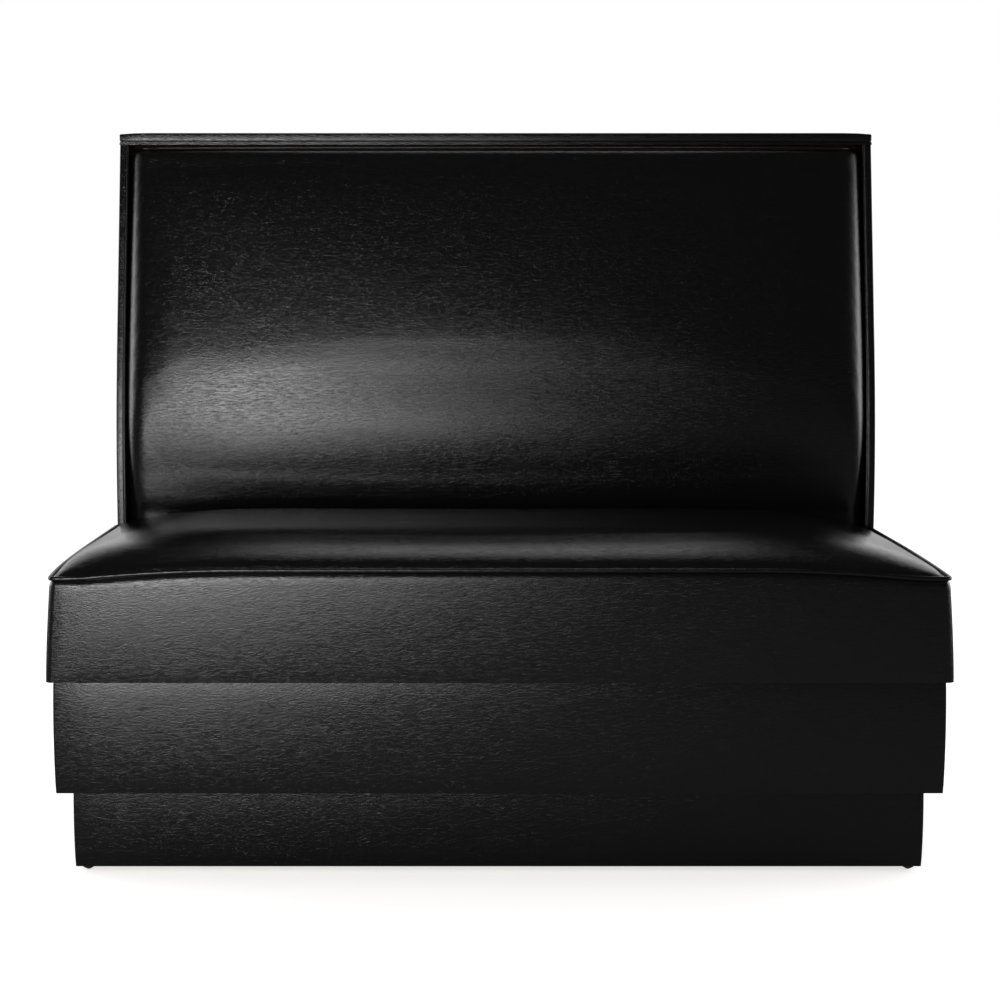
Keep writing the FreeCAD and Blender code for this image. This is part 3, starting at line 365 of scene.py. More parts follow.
def mottled(name, hex_text, darker, grain, roughness, depth, metallic=0.0):
    """A plain material with a fine mottle of this grain size, rough to this depth."""
    material, tree = start_material(name)
    speckle = add_node(
        tree, "ShaderNodeTexNoise",
        inputs={"Vector": place_in(tree, (1 / grain,) * 3), "Scale": 1.0, "Detail": 4.0,
                "Roughness": 0.65},
    ).outputs[0]
    base = linear(hex_text)
    dark = tuple(channel * darker for channel in base[:3]) + (1.0,)
    bump = add_node(tree, "ShaderNodeBump", inputs={"Strength": 0.5, "Distance": depth,
                                                    "Height": speckle})
    shader = add_node(
        tree, "ShaderNodeBsdfPrincipled",
        inputs={"Base Color": blend_colours(tree, speckle, base, dark), "Metallic": metallic,
                "Roughness": spread_over(tree, speckle, 0.3, 0.7, roughness - 0.06,
                                         roughness + 0.06),
                "Normal": bump.outputs[0]},
    )
    return finish_material(material, shader)


def make_finishes():
    """All finishes by the record's slot names."""
    finish = sizes("booth_finishes")
    return {
        "vinyl": upholstery_vinyl(),
        "plywood": birch_plywood(),
        # Planed pine blocks: a little rougher and redder than the plywood
        "timber": mottled("planed_pine", finish.timber, 0.7, 0.004, 0.6, 0.0003),
        # Wet-pressed fibre board, smooth side out
        "hardboard": mottled("pressed_hardboard", finish.hardboard, 0.75, 0.002, 0.55, 0.0002),
        # Open-cell polyurethane, cut by wire
        "foam": mottled("cut_seat_foam", finish.foam, 0.8, 0.0018, 0.95, 0.0008),
        # Needled fibre pad, drawn coarser than life so that its fibres show
        "felt": mottled("needled_fibre_pad", finish.felt, 0.6, 0.0025, 0.95, 0.001),
        # Bright zinc plate on steel, its spangle too fine to show
        "zinc_steel": mottled("zinc_plated_steel", finish.zinc, 0.85, 0.002, 0.38, 0.0001, 1.0),
        # Injection-moulded nylon with a spark-eroded texture
        "pad_plastic": mottled("moulded_nylon", finish.nylon, 0.8, 0.0009, 0.45, 0.0001),
    }


def finish_of(slot):
    """The finish made for one of the record's slots."""
    return bpy.data.materials[bpy.context.scene[f"booth_finish_{slot}"]]


# Modelling tools

def only(piece):
    """Make one object the active and only selected one."""
    bpy.ops.object.select_all(action="DESELECT")
    piece.select_set(True)
    bpy.context.view_layer.objects.active = piece


def block(name, low, high):
    """A box between two corners, its object at the origin."""
    middle = [(a + b) / 2 for a, b in zip(low, high)]
    bpy.ops.object.select_all(action="DESELECT")
    bpy.ops.mesh.primitive_cube_add(size=1.0, location=middle)
    piece = bpy.context.active_object
    piece.name = name
    piece.data.name = name
    piece.scale = [b - a for a, b in zip(low, high)]
    bpy.ops.object.transform_apply(location=True, rotation=True, scale=True)
    return piece


def pick(piece, test, mode="EDGE"):
    """In edit mode, select only the edges or faces whose corners all pass a test."""
    bpy.ops.mesh.select_all(action="DESELECT")
    bpy.ops.mesh.select_mode(type=mode)
    mesh = bmesh.from_edit_mesh(piece.data)
    for item in mesh.edges if mode == "EDGE" else mesh.faces:
        item.select_set(all(test(vertex.co) for vertex in item.verts))
    bmesh.update_edit_mesh(piece.data)


def round_uprights(piece, test, offset, segments):
    """Round the upright edges whose ends all pass a test. Ends in edit mode."""
    only(piece)
    bpy.ops.object.mode_set(mode="EDIT")
    pick(piece, test)
    mesh = bmesh.from_edit_mesh(piece.data)
    for edge in mesh.edges:
        upright = abs(edge.verts[0].co.z - edge.verts[1].co.z) > 0.005
        edge.select_set(edge.select and upright)
    bmesh.update_edit_mesh(piece.data)
    bpy.ops.mesh.bevel(offset=offset, segments=segments, clamp_overlap=False)


def cut_away(piece, test):
    """In edit mode, delete the faces whose corners all pass a test."""
    pick(piece, test, "FACE")
    bpy.ops.mesh.delete(type="FACE")


def slice_at(piece, axis, places):
    """Cut a mesh across at these places along one axis."""
    only(piece)
    bpy.ops.object.mode_set(mode="EDIT")
    normal = [0, 0, 0]
    normal[axis] = 1
    for place in places:
        bpy.ops.mesh.select_all(action="SELECT")
        point = [0, 0, 0]
        point[axis] = place
        bpy.ops.mesh.bisect(plane_co=point, plane_no=normal)
    bpy.ops.object.mode_set(mode="OBJECT")


def steps(low, high, count):
    """Evenly spaced places between two ends, without the ends."""
    return [low + (high - low) * step / count for step in range(1, count)]


def reshape(piece, rule):
    """Move each vertex to where a rule puts it."""
    for vertex in piece.data.vertices:
        vertex.co = rule(vertex.co.copy())
    piece.data.update()


def smooth(piece, angle=math.radians(40)):
    """Shade smooth, with creases kept over this angle."""
    only(piece)
    bpy.ops.object.shade_smooth_by_angle(angle=angle, keep_sharp_edges=False)


def add_modifier(piece, kind, settings):
    """Add a modifier with its settings and apply it."""
    modifier = piece.modifiers.new(kind.title(), kind)
    for key, value in settings.items():
        setattr(modifier, key, value)
    only(piece)
    bpy.ops.object.modifier_apply(modifier=modifier.name)


def face_outwards(piece):
    """Turn a closed mesh's faces outwards."""
    only(piece)
    bpy.ops.object.mode_set(mode="EDIT")
    bpy.ops.mesh.select_all(action="SELECT")
    bpy.ops.mesh.remove_doubles(threshold=0.00001)
    bpy.ops.mesh.normals_make_consistent(inside=False)
    bpy.ops.object.mode_set(mode="OBJECT")


def hand_over(piece, slot, *nodes):
    """Give a finished piece its material and its body, and hide the CAD nodes that it stands for.
    """
    piece.data.materials.clear()
    piece.data.materials.append(finish_of(slot))
    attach(piece, BODY)
    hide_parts(*nodes)


# Forms of the seat and the back

def bow(share):
    """A full bow that is 0 at shares 0 and 1, and 1 between them."""
    return max(0.0, math.sin(math.pi * max(0.0, min(1.0, share)))) ** 0.65


def seam_height(x):
    """Height of the seat's welted seam across the bench: flat, a short bend, a long easing."""
    seat = sizes("booth_seat")
    rise = seat.seam_middle - seat.seam_end
    flat_end = 0.0165
    shoulder = HALF_WIDTH - seat.side_drawn - flat_end
    run = max(0.0, min(seat.seam_rise_run, shoulder - abs(x)))
    start = seat.seam_rise_run / 6
    level = seat.seam_rise_run - start
    slope = 2 * rise / seat.seam_rise_run
    if run <= start:
        return seat.seam_end + slope * run ** 2 / (2 * start)
    return seat.seam_end + rise - slope * (seat.seam_rise_run - run) ** 2 / (2 * level)


def settle(x, depth):
    """How far the side seam has settled outwards and climbed at a depth from the front."""
    seat = sizes("booth_seat")
    settle_run, fade_start, fade_run = 0.09, 0.25, 0.22
    along = 1 - math.exp(-max(0.0, depth) / settle_run)
    if x < 0:
        return seat.spread_left * along, seat.lift_left * along
    fade = 1 - max(0.0, (depth - fade_start) / fade_run)
    return seat.spread_right * along * max(0.0, fade), seat.lift_right * along


def side_reach(x, depth):
    """Half width of the seat at its seam, on the side of x and at a depth from the front."""
    seat = sizes("booth_seat")
    return HALF_WIDTH - seat.side_drawn + seat.side_pad + settle(x, depth)[0]


def seam_at(x, depth):
    """Height of the seat's seam level at a place across and a depth from the front."""
    seat = sizes("booth_seat")
    across = (seam_height(x) - seat.seam_end) / (seat.seam_middle - seat.seam_end)
    return seam_height(x) + settle(x, depth)[1] * (1 - across)


def seat_swell(x, depth, half):
    """Height of the seat cushion over its seam at a place across and a depth from the front."""
    seat = sizes("booth_seat")
    side = max(0.0, half - abs(x))
    soft = seat.shoulder_left if x < 0 else seat.shoulder_right
    across = 1 - math.exp(-((side / soft) ** 0.7))
    roll = min(1.0, max(0.0, depth / seat.roll_run))
    front = math.sqrt(1 - (1 - roll) ** 2)
    whole = BOXING_HIGH[1] - BOXING_LOW[1]
    past = max(0.0, min(1.0, (depth - seat.roll_run) / (whole - seat.roll_run)))
    ease = 0.07  # the share of the depth over which the crest eases into the fall
    fall = (past - ease * (1 - math.exp(-past / ease))) / (1 - ease)
    swell = seat.swell_crest + (seat.swell_rear - seat.swell_crest) * fall
    end_drop = 0.04
    crest = 1 - end_drop * min(1.0, abs(x) / half) ** 2
    return swell * across * front * crest


def panel_line(z):
    """The panels' front edge at a height."""
    back = sizes("booth_back")
    end = back.bend_start + back.bend_radius * math.sin(back.rake)
    if z <= back.bend_start:
        return PANEL_LOW[1]
    if z <= end:
        reach = math.sqrt(back.bend_radius ** 2 - (z - back.bend_start) ** 2)
        return PANEL_LOW[1] + back.bend_radius - reach
    bent = back.bend_radius * (1 - math.cos(back.rake))
    return PANEL_LOW[1] + bent + (z - end) * math.tan(back.rake)


def back_fill(z):
    """How full the back cushion stands at a height, from 0 to 1."""
    back = sizes("booth_back")
    above_seam, top_roll = 0.018, 0.012
    start = sizes("booth_seat").seam_middle + above_seam
    rise = max(0.0, min(1.0, (z - start) / back.low_roll))
    full = start + back.low_roll
    fall = max(0.0, (z - full) / (BACK_HIGH[2] - full))
    top = max(0.0, min(1.0, (BACK_HIGH[2] - z) / top_roll))
    edge = 0.75 + 0.25 * math.sqrt(1 - (1 - top) ** 2)
    foot_tuck = 1.15  # over 1, so that the foot tucks in behind the panels' line
    top_fall = 0.42
    return (1 - foot_tuck * (1 - rise) ** 2) * (1 - top_fall * fall ** 2) * edge


def back_front(x, z, half):
    """Where the back cushion's front stands at a place across and a height."""
    back = sizes("booth_back")
    side = max(0.0, half - abs(x))
    rounded = min(1.0, side / back.side_roll)
    roll = back.side_roll * (1 - math.sqrt(1 - (1 - rounded) ** 2))
    crown = back.crown * (1 - (abs(x) / half) ** 5)
    return panel_line(z) + 0.0008 - (back.proud + crown) * back_fill(z) + roll


def padded_block(name, columns, rows, front, behind):
    """A closed block of quads between two sheets, each given as a rule from shares to a place."""
    bpy.ops.object.select_all(action="DESELECT")
    bpy.ops.mesh.primitive_grid_add(
        x_subdivisions=columns, y_subdivisions=rows, size=1.0, location=(0.5, 0.5, 0.0))
    piece = bpy.context.active_object
    piece.name = name
    piece.data.name = name
    bpy.ops.object.transform_apply(location=True, rotation=True, scale=True)
    bpy.ops.object.mode_set(mode="EDIT")
    bpy.ops.mesh.select_all(action="SELECT")
    bpy.ops.mesh.extrude_region_move(TRANSFORM_OT_translate={"value": (0.0, 0.0, 1.0)})
    bpy.ops.object.mode_set(mode="OBJECT")
    reshape(piece, lambda co: Vector((behind if co.z > 0.5 else front)(co.x, co.y)))
    face_outwards(piece)
    return piece


def evened(moves, pinned, edges, rounds):
    """Even out how far a cover's points moved, as the foam under it does, pinned points aside."""
    count = numpy.zeros(len(moves))
    numpy.add.at(count, edges[:, 0], 1)
    numpy.add.at(count, edges[:, 1], 1)
    for _ in range(rounds):
        total = numpy.zeros_like(moves)
        numpy.add.at(total, edges[:, 0], moves[edges[:, 1]])
        numpy.add.at(total, edges[:, 1], moves[edges[:, 0]])
        moves = (moves + total / count[:, None]) / 2
        moves[pinned] = 0.0
    return moves


def inflate(piece, voxel, held, puff, keep):
    """Remesh a padded block and let its cover swell as cloth under pressure, up to a limit."""
    only(piece)
    piece.data.remesh_voxel_size = voxel
    bpy.ops.object.voxel_remesh()
    pins = piece.vertex_groups.new(name="held")
    pinned = [vertex.index for vertex in piece.data.vertices if held(vertex.co)]
    pins.add(pinned, 1.0, "REPLACE")
    cloth = piece.modifiers.new("Cloth", "CLOTH")
    fabric = cloth.settings
    fabric.quality = 6
    fabric.mass = 0.4
    fabric.use_pressure = True
    fabric.uniform_pressure_force = 4.0
    fabric.effector_weights.gravity = 0.0
    fabric.vertex_group_mass = "held"
    fabric.tension_stiffness = 20.0
    fabric.compression_stiffness = 20.0
    fabric.bending_stiffness = 2.0
    cloth.collision_settings.use_collision = False
    scene = bpy.context.scene
    start = numpy.array([vertex.co for vertex in piece.data.vertices])
    for step in range(1, CLOTH_FRAMES + 1):
        scene.frame_set(step)
    depsgraph = bpy.context.evaluated_depsgraph_get()
    swollen = piece.evaluated_get(depsgraph).data
    moves = numpy.array([vertex.co for vertex in swollen.vertices]) - start
    piece.modifiers.remove(cloth)
    scene.frame_set(1)
    lengths = numpy.maximum(numpy.linalg.norm(moves, axis=1), 1e-9)
    moves *= numpy.minimum(1.0, puff / lengths)[:, None]
    edges = numpy.array([tuple(edge.vertices) for edge in piece.data.edges])
    moves = evened(moves, pinned, edges, CLOTH_EVENINGS)
    for vertex, rest, move in zip(piece.data.vertices, start, moves):
        vertex.co = keep(Vector(rest), Vector(rest + move))
    piece.vertex_groups.clear()
    piece.data.update()
    add_modifier(piece, "SMOOTH", {"factor": 0.5, "iterations": 4})
    add_modifier(piece, "SUBSURF", {"levels": 1, "render_levels": 1})
    smooth(piece, math.radians(60))


def welt_tube(name, points, radius):
    """A round piped welt along smooth points."""
    data = bpy.data.curves.new(name, "CURVE")
    data.dimensions = "3D"
    data.bevel_depth = radius
    data.bevel_resolution = 5
    data.use_fill_caps = True
    data.resolution_u = 4
    line = data.splines.new("NURBS")
    line.points.add(len(points) - 1)
    for point, place in zip(line.points, points):
        point.co = (*place, 1.0)
    line.order_u = 3
    line.use_endpoint_u = True
    piece = bpy.data.objects.new(name, data)
    bpy.context.scene.collection.objects.link(piece)
    only(piece)
    bpy.ops.object.convert(target="MESH")
    piece.data.name = name
    smooth(piece, math.radians(50))
    return piece


# The studio

# Name, place, aim, width, height and power of each area lamp
LAMPS = (
    # The soft highlight on the left of the back, from low to high
    ("left_strip", (-1.05, -2.62, 0.53), (-1.05, 0.0, 0.53), 0.80, 0.96, 17.0),
    ("left_softbox", (-1.02, -2.60, 0.83), (-1.02, 0.0, 0.83), 0.80, 0.34, 8.5),
    ("left_fill", (-0.40, -2.62, 0.72), (-0.40, 0.0, 0.72), 0.50, 0.94, 7.0),
    # The bright rims at the back's sides
    ("left_screen", (-2.4, 0.45, 0.85), (-0.6, 0.2, 0.85), 1.2, 1.1, 14.0),
    ("right_screen", (2.4, 0.45, 0.85), (0.6, 0.2, 0.85), 1.2, 1.1, 14.0),
    # The band on the seat's crest
    ("overhead", (0.0, 0.4, 2.3), (0.0, 0.0, 0.5), 1.2, 0.8, 5.6),
)


def lay_floor(context):
    """A floor that shows white with the bench's shadow, and dim in shiny pieces."""
    bpy.ops.object.select_all(action="DESELECT")
    bpy.ops.mesh.primitive_plane_add(size=30.0, location=(0, 0, 0))
    floor = context.active_object
    floor.name = "studio_floor"
    material, tree = start_material("pale_floor")
    rays = add_node(tree, "ShaderNodeLightPath")
    seen = maths(tree, "MAXIMUM", rays.outputs["Is Camera Ray"],
                 rays.outputs["Is Transmission Ray"])
    dim = blend_colours(tree, rays.outputs["Is Glossy Ray"], (0.8, 0.8, 0.8, 1.0),
                        (0.16, 0.16, 0.16, 1.0))
    matt = add_node(tree, "ShaderNodeBsdfDiffuse", inputs={"Color": dim})
    glow = add_node(tree, "ShaderNodeEmission", inputs={"Color": (1, 1, 1, 1), "Strength": 0.62})
    both = add_node(tree, "ShaderNodeAddShader", inputs={0: matt.outputs[0], 1: glow.outputs[0]})
    finish_material(material, add_node(
        tree, "ShaderNodeMixShader",
        inputs={0: seen, 1: matt.outputs[0], 2: both.outputs[0]}))
    floor.data.materials.append(material)


def light_world(context):
    """A white backdrop that shiny pieces mirror only beside and behind them."""
    world = bpy.data.worlds.new("pale_studio")
    context.scene.world = world
    world.use_nodes = True
    tree = world.node_tree
    tree.nodes.clear()
    rays = add_node(tree, "ShaderNodeLightPath")
    way = add_node(tree, "ShaderNodeTexCoord")
    parts = add_node(tree, "ShaderNodeSeparateXYZ", inputs={0: way.outputs["Generated"]})
    # Where a mirrored ray meets white: at both sides, further forward at the right, and behind,
    # up to about 30 degrees over level
    right = spread_over(tree, parts.outputs[0], 0.75, 1.0, 0.0, 1.0)
    left = spread_over(tree, parts.outputs[0], -0.85, -1.0, 0.0, 1.0)
    behind = spread_over(tree, parts.outputs[1], -0.1, 0.3, 0.0, 1.0)
    low = spread_over(tree, parts.outputs[2], 0.3, 0.55, 1.0, 0.0)
    around = maths(tree, "MAXIMUM", maths(tree, "MAXIMUM", right, left), behind)
    screens = maths(tree, "MULTIPLY", around, low)
    backdrop = spread_over(tree, screens, 0.0, 1.0, 0.02, 1.0)
    glossy = maths(tree, "MULTIPLY", rays.outputs["Is Glossy Ray"], backdrop)
    clear = maths(tree, "MAXIMUM", rays.outputs["Is Camera Ray"],
                  rays.outputs["Is Transmission Ray"])
    white = maths(tree, "MAXIMUM", clear, glossy)
    ambient = context.scene.booth_studio.ambient
    soft = maths(tree, "MULTIPLY", rays.outputs["Is Diffuse Ray"], ambient)
    power = maths(tree, "MAXIMUM", white, soft)
    glow = add_node(tree, "ShaderNodeBackground",
                    inputs={"Color": (1, 1, 1, 1), "Strength": power})
    add_node(tree, "ShaderNodeOutputWorld", inputs={"Surface": glow.outputs[0]})


def hang_lamp(context, name, place, aim, width, height, power):
    """A rectangular area lamp at a place, facing another, unseen by the camera."""
    lamp = bpy.data.lights.new(name, "AREA")
    lamp.shape = "RECTANGLE"
    lamp.size = width
    lamp.size_y = height
    lamp.energy = power
    body = bpy.data.objects.new(name, lamp)
    context.scene.collection.objects.link(body)
    body.location = place
    toward = Vector(aim) - Vector(place)
    body.rotation_euler = toward.to_track_quat("-Z", "Y").to_euler()
    body.visible_camera = False


def place_camera(context):
    """The photo's camera. Its lens and shifts were solved together with its place."""
    studio = context.scene.booth_studio
    camera = bpy.data.cameras.new("photo_view")
    camera.sensor_width = 36.0
    camera.lens = 60.05
    camera.shift_x = 0.0257
    camera.shift_y = -0.053
    eye = bpy.data.objects.new("photo_view", camera)
    context.scene.collection.objects.link(eye)
    eye.location = (studio.camera_x, BOXING_LOW[1] - studio.camera_distance,
                    studio.camera_height)
    eye.rotation_euler = (math.pi / 2 - studio.camera_pitch, 0.0, 0.0)
    context.scene.camera = eye


# Pieces

class BOOTH_OT_finishes(bpy.types.Operator):
    """Make the finishes and put them on the CAD nodes that stay."""
    bl_idname = "booth.finishes"
    bl_label = "Finishes"

    def execute(self, context):
        for slot, material in make_finishes().items():
            context.scene[f"booth_finish_{slot}"] = material.name
        for row in frame["record"]["subparts"]:
            data = frame["nodes"][row["node"]].data
            data.materials.clear()
            data.materials.append(finish_of(row["material_slot"]))
        return {"FINISHED"}


class BOOTH_OT_seat_cushion(bpy.types.Operator):
    """The crowned seat cushion with its rolled front and sides."""
    bl_idname = "booth.seat_cushion"
    bl_label = "Seat cushion"

    def execute(self, context):
        seat = context.scene.booth_seat
        tuck = seat.welt * TUCK
        front = BOXING_LOW[1] + tuck
        depth = BOXING_HIGH[1] - front
        # Start a little low, since the simulated cover swells up to the full height
        start_share = 0.97

        def top(across, along):
            share = math.sin((across - 0.5) * math.pi)
            run = depth * (1 - math.cos(along * math.pi / 2))
            half = side_reach(share, run) - tuck
            x = half * share
            swell = seat_swell(x, run, half) * start_share
            return x, front + run, seam_at(x, run) + 0.001 + swell

        def under(across, along):
            x, y, _ = top(across, along)
            return x, y, seat.seam_end - 0.03

        piece = padded_block("seat_cushion", 110, 60, top, under)

        def held(place):
            rise = place.z - seam_at(place.x, place.y - front)
            return rise < 0.004

        def keep(rest, moved):
            half = side_reach(moved.x, moved.y - front) - tuck + NEAR
            moved.x = max(-half, min(half, moved.x))
            moved.y = max(front - NEAR, min(BOXING_HIGH[1] - 0.0003, moved.y))
            return moved

        inflate(piece, 0.007, held, seat.puff, keep)
        hand_over(piece, "vinyl", "seat_top_cover", "seat_foam")
        return {"FINISHED"}


class BOOTH_OT_seat_boxing(bpy.types.Operator):
    """The upright vinyl boxing round the seat, drawn in towards the welt."""
    bl_idname = "booth.seat_boxing"
    bl_label = "Seat boxing"

    def execute(self, context):
        seat = context.scene.booth_seat
        low = (-HALF_WIDTH, BOXING_LOW[1], BOXING_LOW[2])
        high = (HALF_WIDTH, BOXING_HIGH[1], seat.seam_end)
        piece = block("seat_boxing_vinyl", low, high)
        round_uprights(piece, lambda co: co.y < low[1] + NEAR, seat.corner_round, 8)
        cut_away(piece, lambda co: co.z < low[2] + FLAT)
        bpy.ops.object.mode_set(mode="OBJECT")
        slice_at(piece, 2, steps(low[2], high[2], 18) + steps(high[2] - 0.0076, high[2], 5))
        slice_at(piece, 0, steps(-HALF_WIDTH, HALF_WIDTH, 48))
        slice_at(piece, 1, steps(low[1] + 0.02, high[1], 12))
        swell_depth = 0.03
        turn_share = 0.94

        def shape(co):
            share = (co.z - low[2]) / (high[2] - low[2])
            depth = co.y - low[1]
            lift = share * (seam_at(co.x, depth) - high[2])
            # The top edge turns in under the welt
            tuck = 0.003 * max(0.0, (share - turn_share) / 0.06) ** 2
            foot = HALF_WIDTH + seat.side_pad
            reach = foot + (side_reach(co.x, depth) - foot) * share ** 1.4 - tuck
            x = co.x * reach / HALF_WIDTH
            y = co.y
            if depth < swell_depth:
                forward = 1 - depth / swell_depth
                side = abs(co.x) / HALF_WIDTH
                fade = 1 - max(0.0, (side - 0.9) / 0.1) ** 2
                y += (tuck - seat.boxing_bulge * bow(share) * fade) * forward
            return Vector((x, y, co.z + lift))

        reshape(piece, shape)
        face_outwards(piece)
        smooth(piece)
        hand_over(piece, "vinyl", "seat_boxing")
        return {"FINISHED"}


class BOOTH_OT_back_cushion(bpy.types.Operator):
    """The crowned back cushion between the side panels."""
    bl_idname = "booth.back_cushion"
    bl_label = "Back cushion"

    def execute(self, context):
        back = context.scene.booth_back
        half = BACK_HIGH[0]
        low = BACK_LOW[2]
        height = BACK_HIGH[2] - low
        # Start a little flat, since the simulated cover swells up to the full crown
        inset = back.puff * 0.7
        seat_line = 0.49

        def face(across, along):
            x = half * math.sin((across - 0.5) * math.pi)
            z = low + height * along
            free = max(0.0, min(1.0, (half - abs(x)) / 0.03, (BACK_HIGH[2] - z) / 0.03))
            over_seat = max(0.0, min(1.0, (z - seat_line) / 0.05))
            return x, back_front(x, z, half) + inset * free * over_seat, z

        def behind(across, along):
            x, _, z = face(across, along)
            return x, panel_line(z) + 0.05, z

        piece = padded_block("back_cushion", 120, 110, face, behind)

        def held(place):
            buried = place.y - panel_line(place.z)
            deep = buried > 0.012
            near_side = half - abs(place.x) < 0.003
            near_top = BACK_HIGH[2] - place.z < 0.003
            return deep or near_side or near_top or place.z < seat_line - 0.002

        def keep(rest, moved):
            moved.x = max(-half, min(half, moved.x))
            moved.z = min(BACK_HIGH[2], moved.z)
            return moved

        inflate(piece, 0.0075, held, back.puff, keep)
        hand_over(piece, "vinyl", "back_cover", "back_foam")
        return {"FINISHED"}


class BOOTH_OT_welts(bpy.types.Operator):
    """Piped welts round the seat and along the back."""
    bl_idname = "booth.welts"
    bl_label = "Welts"

    def execute(self, context):
        seat = context.scene.booth_seat
        back = context.scene.booth_back
        radius = seat.welt / 2
        y_front = FRONT + radius
        rear = BOXING_HIGH[1]
        turn = seat.corner_round * 0.8

        def side_place(sign, y):
            depth = max(0.0, y - BOXING_LOW[1])
            x = sign * (side_reach(sign, depth) + 0.002 - radius)
            return x, y, seam_at(x, depth) + radius

        def front_place(x):
            return x, y_front, seam_at(x, 0.0) + radius

        halves = []
        for sign in (-1, 1):
            line = [side_place(sign, rear + (y_front + turn - rear) * step / 24)
                    for step in range(25)]
            tip = side_place(sign, y_front + turn)[0]
            for step in range(1, 6):
                angle = math.pi / 2 * step / 6
                x = tip - sign * turn * (1 - math.cos(angle))
                line.append((x, y_front + turn * (1 - math.sin(angle)),
                             seam_at(x, 0.0) + radius))
            halves.append(line)
        inner = HALF_WIDTH - seat.side_drawn - turn
        across = [front_place(-inner + 2 * inner * step / 60) for step in range(61)]
        places = halves[0] + across + halves[1][::-1]
        piece = welt_tube("seat_welt_piping", places, radius)
        hand_over(piece, "vinyl", "seat_welt")

        radius = back.side_welt / 2
        for side, node in ((-1, "back_left_welt"), (1, "back_right_welt")):
            x = side * (-PANEL_HIGH[0] - radius)
            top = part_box(node)[1][2] - 0.0005
            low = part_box(node)[0][2]
            heights = [low] + steps(low, top, 24) + [top]
            line = [(x, panel_line(z) + radius * 0.6, z) for z in heights]
            piece = welt_tube(node + "_piping", line, radius)
            hand_over(piece, "vinyl", node)

        radius = back.top_welt / 2
        half = BACK_HIGH[0]
        z = BACK_HIGH[2] + radius * 0.9
        line = []
        for step in range(41):
            x = -half + 2 * half * step / 40
            line.append((x, back_front(x, BACK_HIGH[2] - 0.001, half) + radius, z))
        piece = welt_tube("back_top_welt_piping", line, radius)
        hand_over(piece, "vinyl", "back_top_welt")
        return {"FINISHED"}


class BOOTH_OT_side_panels(bpy.types.Operator):
    """The two thin side panels, wrapped in vinyl, with eased edges."""
    bl_idname = "booth.side_panels"
    bl_label = "Side panels"

    def execute(self, context):
        for side in ("left", "right"):
            node = f"back_{side}_panel_cover"
            low, high = [list(corner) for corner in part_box(node)]
            # The wrap turns in a little past the board, so that its soft edge hides the plywood
            turn_in = 0.0008
            if side == "left":
                high[0] += turn_in
            else:
                low[0] -= turn_in
            piece = block(f"back_{side}_panel_wrap", low, high)
            slice_at(piece, 2, steps(low[2], high[2], 40))
            front = low[1]

            def shape(co):
                return Vector((co.x, panel_line(co.z) if co.y < front + NEAR else co.y, co.z))

            reshape(piece, shape)
            round_uprights(piece, lambda co: co.y < panel_line(co.z) + NEAR, 0.0018, 4)
            bpy.ops.object.mode_set(mode="OBJECT")
            face_outwards(piece)
            smooth(piece)
            hand_over(piece, "vinyl", node)
        return {"FINISHED"}


class BOOTH_OT_base(bpy.types.Operator):
    """The vinyl covers of the seat box and the plinth."""
    bl_idname = "booth.base"
    bl_label = "Box and plinth"

    def execute(self, context):
        for name, node, low, high in (
            ("box_vinyl", "box_cover", BOX_LOW, BOX_HIGH),
            ("plinth_vinyl", "plinth_cover", PLINTH_LOW, PLINTH_HIGH),
        ):
            piece = block(name, low, high)
            round_uprights(piece, lambda co: True, 0.003, 4)
            cut_away(piece, lambda co: co.z < low[2] + FLAT)
            cut_away(piece, lambda co: co.z > high[2] - FLAT)
            bpy.ops.object.mode_set(mode="OBJECT")
            slice_at(piece, 2, steps(low[2], high[2], 12))
            slice_at(piece, 0, steps(low[0], high[0], 24))
            middle_y = (low[1] + high[1]) / 2

            def shape(co):
                share = (co.z - low[2]) / (high[2] - low[2])
                out = 0.003 * bow(share)
                if co.y < middle_y:
                    co.y -= out
                # At the ends, past the rounded corners
                if abs(co.x) > high[0] - 0.004:
                    co.x += math.copysign(out * 0.3, co.x)
                return co

            reshape(piece, shape)
            face_outwards(piece)
            add_modifier(piece, "SOLIDIFY", {"thickness": 0.0012, "offset": -1.0})
            smooth(piece)
            hand_over(piece, "vinyl", node)
        return {"FINISHED"}


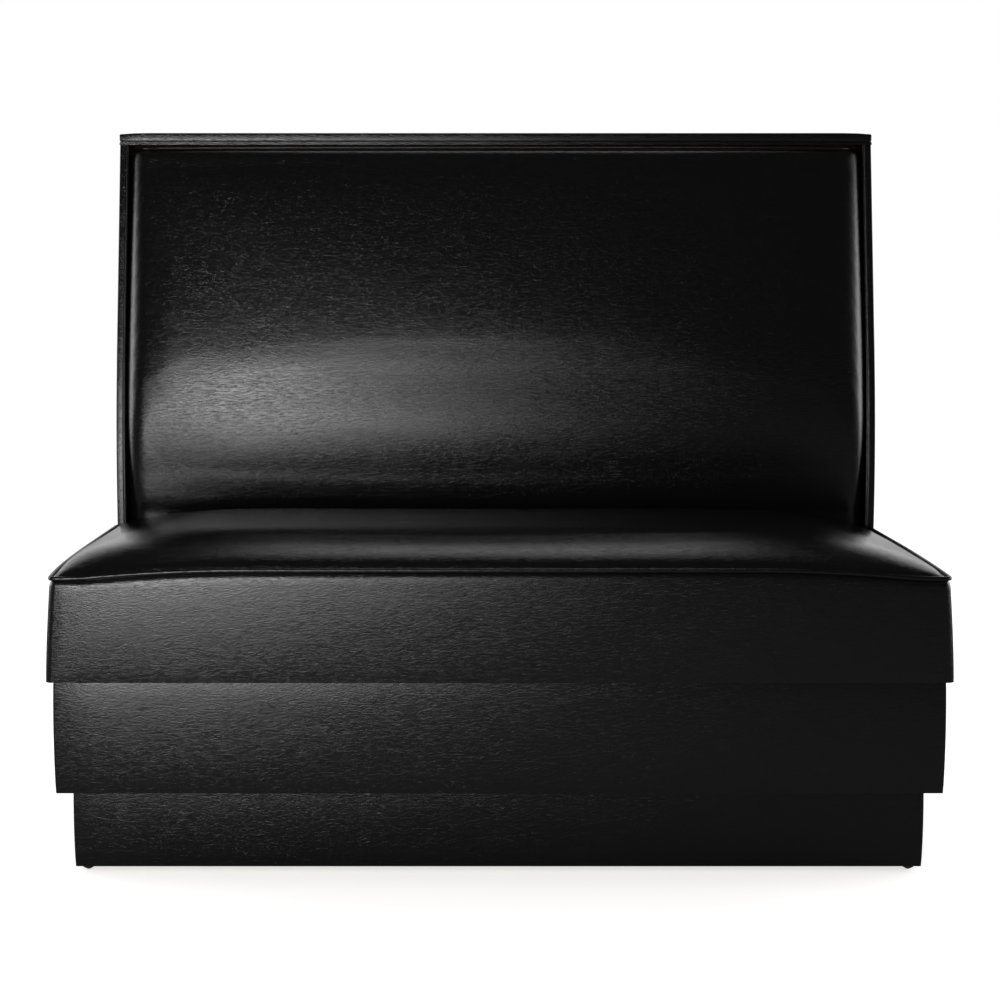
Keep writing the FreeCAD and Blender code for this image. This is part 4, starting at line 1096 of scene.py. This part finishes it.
class BOOTH_OT_cap(bpy.types.Operator):
    """The thin wrapped cap board, its top easing down at both ends."""
    bl_idname = "booth.cap"
    bl_label = "Cap"

    def execute(self, context):
        piece = block("cap_wrap", CAP_LOW, CAP_HIGH)
        slice_at(piece, 0, steps(CAP_LOW[0], CAP_HIGH[0], 54))

        def shape(co):
            near = max(0.0, 1 - (HALF_WIDTH - abs(co.x)) / 0.045)
            drop = 0.002 * near ** 2 if co.z > (CAP_LOW[2] + CAP_HIGH[2]) / 2 else 0.0
            return Vector((co.x, co.y, co.z - drop))

        reshape(piece, shape)
        add_modifier(piece, "BEVEL", {"width": 0.0024, "segments": 4, "limit_method": "ANGLE",
                                      "angle_limit": math.radians(50)})
        face_outwards(piece)
        smooth(piece)
        hand_over(piece, "vinyl", "cap_cover")
        return {"FINISHED"}


class BOOTH_OT_stage(bpy.types.Operator):
    """Pale floor, soft lamps, plain world and the camera."""
    bl_idname = "booth.stage"
    bl_label = "Stage"

    def execute(self, context):
        context.scene.view_settings.view_transform = "Standard"
        lay_floor(context)
        light_world(context)
        for lamp in LAMPS:
            hang_lamp(context, *lamp)
        place_camera(context)
        return {"FINISHED"}


class BOOTH_PT_panel(bpy.types.Panel):
    """Buttons for the booth's pieces."""
    bl_label = "Booth"
    bl_space_type = "VIEW_3D"
    bl_region_type = "UI"
    bl_category = "Booth"

    def draw(self, context):
        for operator in OPERATORS:
            self.layout.operator(operator.bl_idname)


GROUPS = (
    ("booth_seat", SeatSizes),
    ("booth_back", BackSizes),
    ("booth_finishes", Finishes),
    ("booth_studio", StudioSetup),
)
OPERATORS = (
    BOOTH_OT_finishes,
    BOOTH_OT_seat_cushion,
    BOOTH_OT_seat_boxing,
    BOOTH_OT_back_cushion,
    BOOTH_OT_welts,
    BOOTH_OT_side_panels,
    BOOTH_OT_base,
    BOOTH_OT_cap,
    BOOTH_OT_stage,
)


def register():
    for name, group in GROUPS:
        bpy.utils.register_class(group)
        setattr(bpy.types.Scene, name, bpy.props.PointerProperty(type=group))
    for operator in OPERATORS:
        bpy.utils.register_class(operator)
    bpy.utils.register_class(BOOTH_PT_panel)


def unregister():
    bpy.utils.unregister_class(BOOTH_PT_panel)
    for operator in reversed(OPERATORS):
        bpy.utils.unregister_class(operator)
    for name, group in reversed(GROUPS):
        delattr(bpy.types.Scene, name)
        bpy.utils.unregister_class(group)


def main():
    register()
    for operator in OPERATORS:
        family, action = operator.bl_idname.split(".")
        getattr(getattr(bpy.ops, family), action)()


if __name__ == "__main__":
    main()
